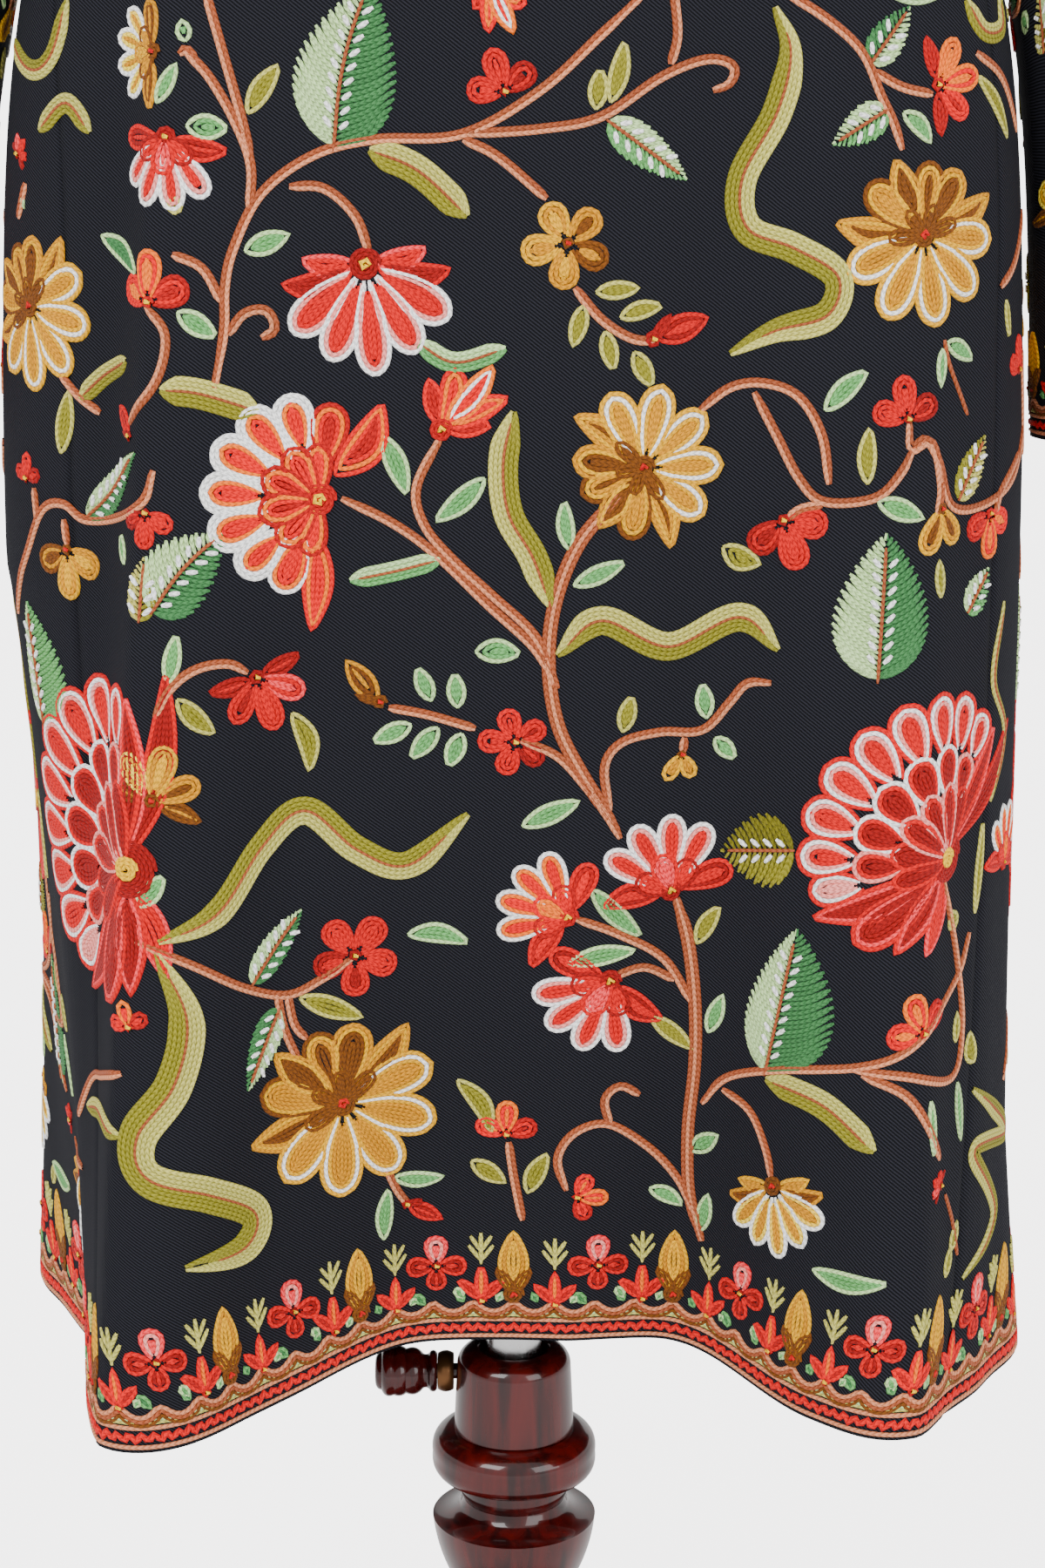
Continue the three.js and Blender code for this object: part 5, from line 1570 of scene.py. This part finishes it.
class Chart:
    """Turns places of the chart into flat coordinates of the front."""

    def __init__(self, field):
        self.field = field
        rows = slice(None, None, 2)
        points = field.points[rows, rows]
        seen = self.view(points.reshape(-1, 3))
        toward = points.reshape(-1, 3) - np.array([CAMERA["x"], CAMERA["y"], CAMERA["z"]])
        facing = (toward * field.normals[rows, rows].reshape(-1, 3)).sum(-1) < 0
        across, up = np.meshgrid(field.across[rows], field.up[rows])
        self.flat = np.stack([across.ravel(), up.ravel()], -1)[facing]
        self.tree = kdtree.KDTree(len(self.flat))
        for i, place in enumerate(seen[facing]):
            self.tree.insert((place[0], place[1], 0), i)
        self.tree.balance()

    def view(self, points):
        """Where places on the garment stand on the chart."""
        d = np.asarray(points) - np.array([CAMERA["x"], CAMERA["y"], CAMERA["z"]])
        pitch = math.radians(CAMERA["pitch"])
        ahead = d[..., 1] * math.cos(pitch) - d[..., 2] * math.sin(pitch)
        above = d[..., 1] * math.sin(pitch) + d[..., 2] * math.cos(pitch)
        scale = CHART_SIZE["height"] * CAMERA["lens"] / CAMERA["sensor"] / ahead
        return np.stack([CHART_SIZE["width"] / 2 + d[..., 0] * scale,
            CHART_SIZE["height"] / 2 - above * scale], -1)

    def cloth(self, places):
        """Flat coordinates under places of the chart; beyond the cloth's outline, its nearest place."""
        places = np.atleast_2d(np.asarray(places, float))
        flat = np.array([self.flat[self.tree.find((x, y, 0))[1]] for x, y in places])
        for _ in range(CHART_ROUNDS):
            here = self.view(self.field.at(flat))
            right = self.view(self.field.at(flat + [1.0, 0])) - here
            above = self.view(self.field.at(flat + [0, 1.0])) - here
            miss = places - here
            whole = right[:, 0] * above[:, 1] - right[:, 1] * above[:, 0]
            whole = np.where(np.abs(whole) < EDGE_ON, np.sign(whole + 1e-9) * 1e9, whole)
            move_x = (miss[:, 0] * above[:, 1] - miss[:, 1] * above[:, 0]) / whole
            move_up = (right[:, 0] * miss[:, 1] - right[:, 1] * miss[:, 0]) / whole
            flat = flat + np.clip(np.stack([move_x, move_up], -1), -CHART_STRIDE, CHART_STRIDE)
        return flat


class Drawing(Work):
    """The whole chart, drawn on the flat front."""

    def __init__(self, chart):
        super().__init__()
        self.chart = chart

    def place(self, *places):
        return self.chart.cloth(places)

    def scaled(self, base, tip):
        """A base and a tip on the cloth, the tip kept within reach where the cloth turns away."""
        reach = math.hypot(tip[0] - base[0], tip[1] - base[1]) / CHART_SCALE * 1.25
        base, tip = self.place(base, tip)
        return base, base + (tip - base) * min(1.0, reach / max(float(np.hypot(*(tip - base))), 1e-6))

    def curve(self, line):
        """A curve on the cloth, its steps kept within reach where the cloth turns away."""
        flat, drawn = self.place(*line), np.array(line, float)
        steps = np.diff(flat, axis=0)
        reach = np.hypot(*np.diff(drawn, axis=0).T) / CHART_SCALE * STEP_REACH
        steps *= np.minimum(1, reach / np.maximum(np.hypot(*steps.T), 1e-6))[:, None]
        walk = np.concatenate([[[0, 0]], np.cumsum(steps, axis=0)])
        facing = int(np.argmin(np.abs(drawn[:, 0] - CHART_SIZE["width"] / 2)))
        return flat[facing] + walk - walk[facing]

    def flowers(self):
        for f in table(FLOWER_COLUMNS, FLOWERS):
            self.motif += 1
            base = self.place((f["x"], f["y"]))[0]
            away = np.array([f["tip_x"] - f["x"], f["y"] - f["tip_y"]])
            size = float(np.hypot(*away)) / CHART_SCALE
            self.flower(base, size, math.atan2(away[1], away[0]), f["plan"], f["dyes"])

    def leaves(self):
        for leaf in table(LEAF_COLUMNS, LEAFLETS):
            self.motif += 1
            base, tip = self.scaled((leaf["x"], leaf["y"]), (leaf["tip_x"], leaf["tip_y"]))
            self.petal(base, tip, leaf["width"] * 1.5, (leaf["edge"], leaf["inside"]), False, leaf["bend"])
        for blade in table(BLADE_COLUMNS, BLADES):
            self.motif += 1
            self.blade(self.curve(blade["line"]), blade["width"], blade["light"], blade["dark"])
        for leaf in table(SEED_COLUMNS, SEED_LEAVES):
            self.motif += 1
            base, tip = self.scaled((leaf["x"], leaf["y"]), (leaf["tip_x"], leaf["tip_y"]))
            halves = leaf["left"], leaf["right"], leaf["light"], leaf["dark"]
            self.seed_leaf(base, tip, *halves, leaf["bend"])

    def vines(self):
        for rows, line in VINES:
            self.vine(self.curve(line), VINE_ROWS[rows])


def zigzag(work, across, middle):
    """A sharp zigzag row about its middle height."""
    wave = np.abs(((across / ZIGZAG["period"]) % 1) * 2 - 1) * 2 - 1
    work.row(np.stack([across, middle + ZIGZAG["rise"] * wave], -1), "vermilion", 0.15, ZIGZAG["width"])


def level_foot(height):
    return lambda across: np.full(len(across), float(height))


def hem_border(work, start, end, foot):
    """The border along a stretch of the hem; foot gives the hem's height at a place across."""
    across = np.arange(start, end + 0.1, DRAWN_STEP)
    base = foot(across)
    for up, thread, width in BORDER_LINES:
        work.row(np.stack([across, base + up], -1), thread, 0.0, width)
    zigzag(work, across, base + ZIGZAG["up"])
    rise = 1 - 2 * np.abs(np.sin(across / BORDER_VINE["period"] * 2 * math.pi)) ** 0.7
    line = np.stack([across, base + BORDER_VINE["up"] + BORDER_VINE["rise"] * rise], -1)
    for i, thread in enumerate(("brown", "terracotta", "peach")):
        work.row(beside(line, (1 - i) * -ROW_SPACING * 0.95), thread, 0.15)
    for i in range(math.ceil(start / BORDER_FILLS["period"]), math.floor(end / BORDER_FILLS["period"]) + 1):
        x = i * BORDER_FILLS["period"]
        for k in range(BORDER_FILLS["rows"]):
            reach = BORDER_FILLS["reach"] - BORDER_FILLS["less"] * k
            ends = np.array([[x - reach, 0], [x, 0.6], [x + reach, 0]])
            ends[:, 1] += foot(ends[:, 0]) + BORDER_FILLS["up"] + k * BORDER_FILLS["apart"]
            work.row(smooth(ends), "mist" if k == 1 else "straw", 0.0, BORDER_FILLS["width"])
    for i in range(math.floor(start / BORDER_REPEAT), math.ceil(end / BORDER_REPEAT) + 1):

        def stand(x, up):
            at = i * BORDER_REPEAT + x
            return np.array([at, float(foot(np.array([at]))[0]) + up])

        for f in table(BORDER_FLOWER_COLUMNS, BORDER_FLOWERS):
            if start <= i * BORDER_REPEAT + f["x"] < end:
                work.flower(stand(f["x"], f["up"]), f["size"], math.pi / 2, f["plan"], f["dyes"])
        for leaf in table(LEAF_COLUMNS, BORDER_LEAVES):
            if start <= i * BORDER_REPEAT + leaf["x"] < end:
                base, tip = stand(leaf["x"], leaf["y"]), stand(leaf["tip_x"], leaf["tip_y"])
                work.petal(base, tip, leaf["width"], (leaf["edge"], leaf["inside"]), False)
        for x, up in BORDER_SPRIGS:
            for x0, up0, x1, up1 in SPRIG_PRONGS:
                if start <= i * BORDER_REPEAT + x < end:
                    prong = evenly([stand(x + x0, up + up0), stand(x + x1, up + up1)], DRAWN_STEP)
                    work.row(prong, "straw", 0.1, 2.6)


# Each piece of stitching: its seed, and the spacing of its bands' points against the front's.
STITCHING = {
    "front_leaf_stitches": (3, 1), "front_flower_stitches": (5, 1), "chest_stitches": (7, 1.2),
    "gore_left_stitches": (10, 1.3), "gore_right_stitches": (12, 1.3),
    "back_stitches": (17, 1.7), "back_yoke_stitches": (19, 1.7),
    "sleeve_left_stitches": (22, 1.6), "sleeve_right_stitches": (24, 1.6),
    "neck_stitches": (37, 1), "hem_border_stitches": (29, 1), "back_border_stitches": (31, 1.5),
}


def ribbons(name, rows, field, inside):
    """The rows as raised bands of thread on the cloth, cut off where they leave their piece."""
    material = stored_material("thread", thread_material)
    seed, coarse = STITCHING[name]
    dice = np.random.default_rng(seed)
    shape = np.array(ROW_SECTION)
    points, faces, flats, colours, first = [], [], [], [], 0
    for line, thread, lift, width, _ in rows:
        line = evenly(line, STITCH_STEP * coarse)
        shade = 1 + dice.normal(0, 0.05)
        dyed = np.array(linear(np.array(THREADS[thread]) / 255)) * shade
        dyed = np.clip(dyed.mean() + (dyed - dyed.mean()) * VIVID, 0.002, 1)
        for start, end in stretches(inside(line)):
            part, count = line[start:end], end - start
            across = sides_of(part)
            taper = np.ones(count)
            taper[0] = taper[-1] = 0.55
            off = shape[None, :, 0] * (width * taper)[:, None]
            places = part[:, None, :] + across[:, None, :] * off[..., None]
            rise = CLOTH_OUT + lift + shape[:, 1] * ROW_HEIGHT * np.sqrt(taper)[:, None]
            points.append(field.at(places, rise).reshape(-1, 3))
            run = run_along(part) + dice.uniform(0, 4)
            flats.append(np.stack([np.broadcast_to(run[:, None], off.shape), off], -1).reshape(-1, 2))
            colours.append(np.broadcast_to([*dyed, 1.0], (count * 4, 4)))
            r, c = np.meshgrid(np.arange(count - 1), np.arange(3), indexing="ij")
            a = first + (r * 4 + c).ravel()
            faces.append(np.stack([a, a + 4, a + 5, a + 1], -1))
            first += count * 4
    made = object_of(name, np.concatenate(points), np.concatenate(faces), material, np.concatenate(flats))
    layer = made.data.color_attributes.new("Thread", "FLOAT_COLOR", "POINT")
    layer.data.foreach_set("color", np.concatenate(colours).astype(np.float32).ravel())
    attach(made, "garment")
    return made


def on_yoke(face, across, up):
    """Which places lie below the neckline and shoulder seam and between the armholes."""
    half = FIELDS[face].half_at_armpit
    top = yoke_end(face, np.clip(across / half, -1, 1)) - 0.02
    return (np.abs(across) < half - 5) & ((up - ARMPIT_Z) / YOKE_RUN < top)


def on_front(line):
    """Which places lie on the front or a gore, from the hem to the neckline and armholes."""
    across, up = line[:, 0], line[:, 1]
    level = np.minimum(up, ARMPIT_Z)
    reach = front_half(level) + gore_width(level) + 6
    side = np.abs(across - front_shift(level))
    skirt = (up < ARMPIT_Z - 4) & (side < reach) & (up > hem_height(across) + 2)
    return skirt | (up >= ARMPIT_Z - 4) & on_yoke("front", across, up)


def on_back(line):
    across, up = line[:, 0], line[:, 1]
    level = np.minimum(up, ARMPIT_Z)
    skirt = (up < ARMPIT_Z) & (np.abs(across) < back_half(level) + 1) & (up > HEM_Z + 2)
    return skirt | (up >= ARMPIT_Z) & on_yoke("back", across, up)


def on_sleeve(line):
    return (np.abs(line[:, 0]) <= SLEEVE_ROUND / 2) & (line[:, 1] > 2) & (line[:, 1] < SLEEVE_RUN - 16)


def moved(rows, shift_x=0.0, shift_up=0.0, mirror=False):
    """Rows drawn again elsewhere on the cloth, turned over if asked."""
    sign = np.array([-1.0 if mirror else 1.0, 1.0])
    return [(line * sign + [shift_x, shift_up], *rest) for line, *rest in rows]


def whole_motifs(rows, wanted):
    """Flowers and leaves whose middle is wanted, and the stretches of vine there."""
    middles, kept = {}, []
    for line, *_, motif in rows:
        middles.setdefault(motif, []).append(line.mean(axis=0))
    middles = {motif: np.mean(places, axis=0)[None, :] for motif, places in middles.items()}
    for row in rows:
        if row[-1]:
            if wanted(middles[row[-1]])[0]:
                kept.append(row)
            continue
        line = evenly(row[0], 3.0)
        kept += [(line[a:b], *row[1:]) for a, b in stretches(wanted(line))]
    return kept


# ---- Where the chart is worked again on cloth that the chart itself doesn't reach ----
CHART_TOP = 1086
UPPER_SHIFT = 664
BORDER_TOP = 78
SIDE_SHIFT = 636
# height and half width of the cloth that the chart reaches
SEEN_HALF = [(300, 345), (700, 338), (1200, 300)]


def seen_half(up):
    height, half = np.array(SEEN_HALF, float).T
    return np.interp(up, height, half)


def front_drawing():
    """The chart's rows on the front: vines, leaves and flowers, worked out once."""
    chart = Chart(FIELDS["front"])
    drawing = Drawing(chart)
    drawing.vines()
    drawing.leaves()
    leaves = drawing.rows
    drawing.rows = []
    drawing.flowers()
    return leaves, drawing.rows


def above_border(line):
    return line[:, 1] > hem_height(line[:, 0]) + BORDER_TOP - 14


class PHERAN_OT_front_leaves(bpy.types.Operator):
    """Work the vines and leaves of the front"""

    bl_idname = "pheran.front_leaves"
    bl_label = "Vines and leaves"

    def execute(self, context):
        leaves, _ = stored_material("drawing", front_drawing)
        ribbons("front_leaf_stitches", whole_motifs(leaves, above_border), FIELDS["front"], on_front)
        return {"FINISHED"}


class PHERAN_OT_front_flowers(bpy.types.Operator):
    """Work the flowers of the front"""

    bl_idname = "pheran.front_flowers"
    bl_label = "Flowers"

    def execute(self, context):
        _, flowers = stored_material("drawing", front_drawing)
        ribbons("front_flower_stitches", flowers, FIELDS["front"], on_front)
        return {"FINISHED"}


class PHERAN_OT_upper_front(bpy.types.Operator):
    """Work the chest of the front"""

    bl_idname = "pheran.upper_front"
    bl_label = "Chest"

    def execute(self, context):
        leaves, flowers = stored_material("drawing", front_drawing)
        rows = whole_motifs(moved(leaves + flowers, 0, UPPER_SHIFT), lambda p: p[:, 1] > CHART_TOP)
        ribbons("chest_stitches", rows, FIELDS["front"], on_front)
        return {"FINISHED"}


class PHERAN_OT_side_stitches(bpy.types.Operator):
    """Work the sides of the gores"""

    bl_idname = "pheran.side_stitches"
    bl_label = "Gore embroidery"

    def execute(self, context):
        leaves, flowers = stored_material("drawing", front_drawing)
        for side, name in ((-1, "left"), (1, "right")):
            rows = moved(leaves + flowers, side * SIDE_SHIFT)
            rows = whole_motifs(rows, lambda p: (side * p[:, 0] > seen_half(p[:, 1])) & above_border(p))
            ribbons(f"gore_{name}_stitches", rows, FIELDS["front"], on_front)
        return {"FINISHED"}


class PHERAN_OT_back_stitches(bpy.types.Operator):
    """Work the back, the same chart turned over"""

    bl_idname = "pheran.back_stitches"
    bl_label = "Back embroidery"

    def execute(self, context):
        leaves, flowers = stored_material("drawing", front_drawing)
        rows = moved(leaves + flowers, mirror=True)
        low = whole_motifs(rows, lambda p: p[:, 1] > HEM_Z + BORDER_TOP - 14)
        ribbons("back_stitches", low, FIELDS["back"], on_back)
        high = whole_motifs(moved(rows, 0, UPPER_SHIFT), lambda p: p[:, 1] > CHART_TOP)
        ribbons("back_yoke_stitches", high, FIELDS["back"], on_back)
        return {"FINISHED"}


class PHERAN_OT_sleeve_stitches(bpy.types.Operator):
    """Work both sleeves with vines and flowers above a border"""

    bl_idname = "pheran.sleeve_stitches"
    bl_label = "Sleeve embroidery"

    def execute(self, context):
        leaves, flowers = stored_material("drawing", front_drawing)
        for side, name in ((-1, "left"), (1, "right")):
            rows = moved(leaves + flowers, side * SLEEVE_CHART["shift_x"], -SLEEVE_CHART["from_up"])
            half = SLEEVE_ROUND / 2
            rows = whole_motifs(rows, lambda p: (p[:, 1] > BORDER_TOP) & (np.abs(p[:, 0]) < half))
            work = Work()
            hem_border(work, -half, half, level_foot(1))
            ribbons(f"sleeve_{name}_stitches", rows + work.rows, SLEEVE_FIELDS[name], on_sleeve)
        return {"FINISHED"}


SLEEVE_CHART = {"shift_x": 40, "from_up": 560}


class PHERAN_OT_hem_border(bpy.types.Operator):
    """Work the border round the hem and the chain line of the neckband"""

    bl_idname = "pheran.hem_border"
    bl_label = "Hem border"

    def execute(self, context):
        neck, field = Work(), neck_field()
        around = np.arange(0, field.across[-1], DRAWN_STEP)
        for up in NECK_ROWS:
            neck.row(np.stack([around, np.full_like(around, up)], -1), "peach")
        zigzag(neck, around, np.mean(NECK_ROWS))
        ribbons("neck_stitches", neck.rows, field, lambda line: line[:, 0] >= 0)
        half = front_half(HEM_Z) + gore_width(HEM_Z)
        front = Work()
        hem_border(front, FRONT_SHIFT - half, FRONT_SHIFT + half, hem_height)
        ribbons("hem_border_stitches", front.rows, FIELDS["front"], on_front)
        back = Work()
        reach = float(back_half(HEM_Z))
        hem_border(back, -reach, reach, level_foot(HEM_Z))
        ribbons("back_border_stitches", back.rows, FIELDS["back"], on_back)
        return {"FINISHED"}


FLOOR_HALF = 30000
FLOOR_ROUGHNESS = 0.9
FLOOR_GLOW = (1.0, 0.985, 0.985, 1)
ROOM_COLOUR = (1.0, 0.995, 0.99, 1)
VIEW_END = 120  # how far the camera sees, in metres
LIGHTS = {  # place and target in metres, and the side of the soft box
    "Key light": {"place": (-1.5, -2.1, 2.6), "target": (0, 0, 0.85), "size": 1.6, "power": "key"},
    "Fill light": {"place": (1.9, -1.8, 1.5), "target": (0, 0, 0.8), "size": 1.8, "power": "fill"},
}


class PHERAN_OT_stage(bpy.types.Operator):
    """Lay the pale floor and set the soft lights and the camera"""

    bl_idname = "pheran.stage"
    bl_label = "Floor, lights and camera"

    def execute(self, context):
        settings = context.scene.pheran_stage
        half = FLOOR_HALF
        corners = [(-half, -half, 0), (half, -half, 0), (half, half, 0), (-half, half, 0)]
        paper = plain_material("Pale floor", settings.floor, FLOOR_ROUGHNESS)
        seen = paper.node_tree.nodes.new("ShaderNodeLightPath").outputs["Is Camera Ray"]
        glow = maths(paper.node_tree, "MULTIPLY", seen, settings.glow)
        shader = paper.node_tree.nodes["Principled BSDF"]
        paper.node_tree.links.new(glow, shader.inputs["Emission Strength"])
        shader.inputs["Emission Color"].default_value = FLOOR_GLOW
        floor = object_of("floor", corners, [(0, 1, 2, 3)], paper)
        world = bpy.data.worlds.new("Pale room")
        context.scene.world = world
        world.use_nodes = True
        back = world.node_tree.nodes["Background"]
        back.inputs["Color"].default_value = ROOM_COLOUR
        seen = world.node_tree.nodes.new("ShaderNodeLightPath").outputs["Is Camera Ray"]
        strength = maths(world.node_tree, "MULTIPLY_ADD", seen, settings.glow, settings.surround)
        world.node_tree.links.new(strength, back.inputs["Strength"])
        for name, lamp in LIGHTS.items():
            power_watts = getattr(settings, lamp["power"])
            soft_light(name, lamp["place"], lamp["target"], lamp["size"], power_watts)
        shoot = bpy.data.cameras.new("Camera")
        shoot.lens = CAMERA["lens"]
        shoot.sensor_fit = "VERTICAL"
        shoot.sensor_height = CAMERA["sensor"]
        shoot.clip_end = VIEW_END
        seen = bpy.data.objects.new("Camera", shoot)
        seen.location = (CAMERA["x"] * MM, CAMERA["y"] * MM, CAMERA["z"] * MM)
        seen.rotation_euler = (math.radians(90 - CAMERA["pitch"]), 0, 0)
        context.collection.objects.link(seen)
        context.scene.camera = seen
        return {"FINISHED"}


def soft_light(name, place, target, size, power_watts):
    lamp = bpy.data.lights.new(name, "AREA")
    lamp.size = size
    lamp.energy = power_watts
    made = bpy.data.objects.new(name, lamp)
    made.location = place
    toward = np.array(target) - np.array(place)
    made.rotation_euler = (
        math.atan2(math.hypot(toward[0], toward[1]), -toward[2]),
        0,
        math.atan2(toward[1], toward[0]) - math.pi / 2,
    )
    bpy.context.scene.collection.objects.link(made)


SETTINGS = {
    "pheran_cloth": ClothSettings,
    "pheran_stand": StandSettings,
    "pheran_stage": StageSettings,
}
OPERATORS = (
    PHERAN_OT_panels,
    PHERAN_OT_gores,
    PHERAN_OT_sleeves,
    PHERAN_OT_neckband,
    PHERAN_OT_form,
    PHERAN_OT_stand,
    PHERAN_OT_front_leaves,
    PHERAN_OT_front_flowers,
    PHERAN_OT_upper_front,
    PHERAN_OT_side_stitches,
    PHERAN_OT_back_stitches,
    PHERAN_OT_sleeve_stitches,
    PHERAN_OT_hem_border,
    PHERAN_OT_stage,
)


class PHERAN_PT_panel(bpy.types.Panel):
    """The garment's settings and its build steps"""

    bl_idname = "PHERAN_PT_panel"
    bl_label = "Pheran"
    bl_space_type = "VIEW_3D"
    bl_region_type = "UI"
    bl_category = "Pheran"

    def draw(self, context):
        for name, settings in SETTINGS.items():
            box = self.layout.box()
            for key in settings.__annotations__:
                box.prop(getattr(context.scene, name), key)
        for operator in OPERATORS:
            self.layout.operator(operator.bl_idname)


def register():
    for name, settings in SETTINGS.items():
        bpy.utils.register_class(settings)
        setattr(bpy.types.Scene, name, bpy.props.PointerProperty(type=settings))
    for shown in (*OPERATORS, PHERAN_PT_panel):
        bpy.utils.register_class(shown)


def unregister():
    for shown in (PHERAN_PT_panel, *reversed(OPERATORS)):
        bpy.utils.unregister_class(shown)
    for name, settings in SETTINGS.items():
        delattr(bpy.types.Scene, name)
        bpy.utils.unregister_class(settings)


def main():
    register()
    for operator in OPERATORS:
        family, name = operator.bl_idname.split(".")
        getattr(getattr(bpy.ops, family), name)()


if __name__ == "__main__":
    main()
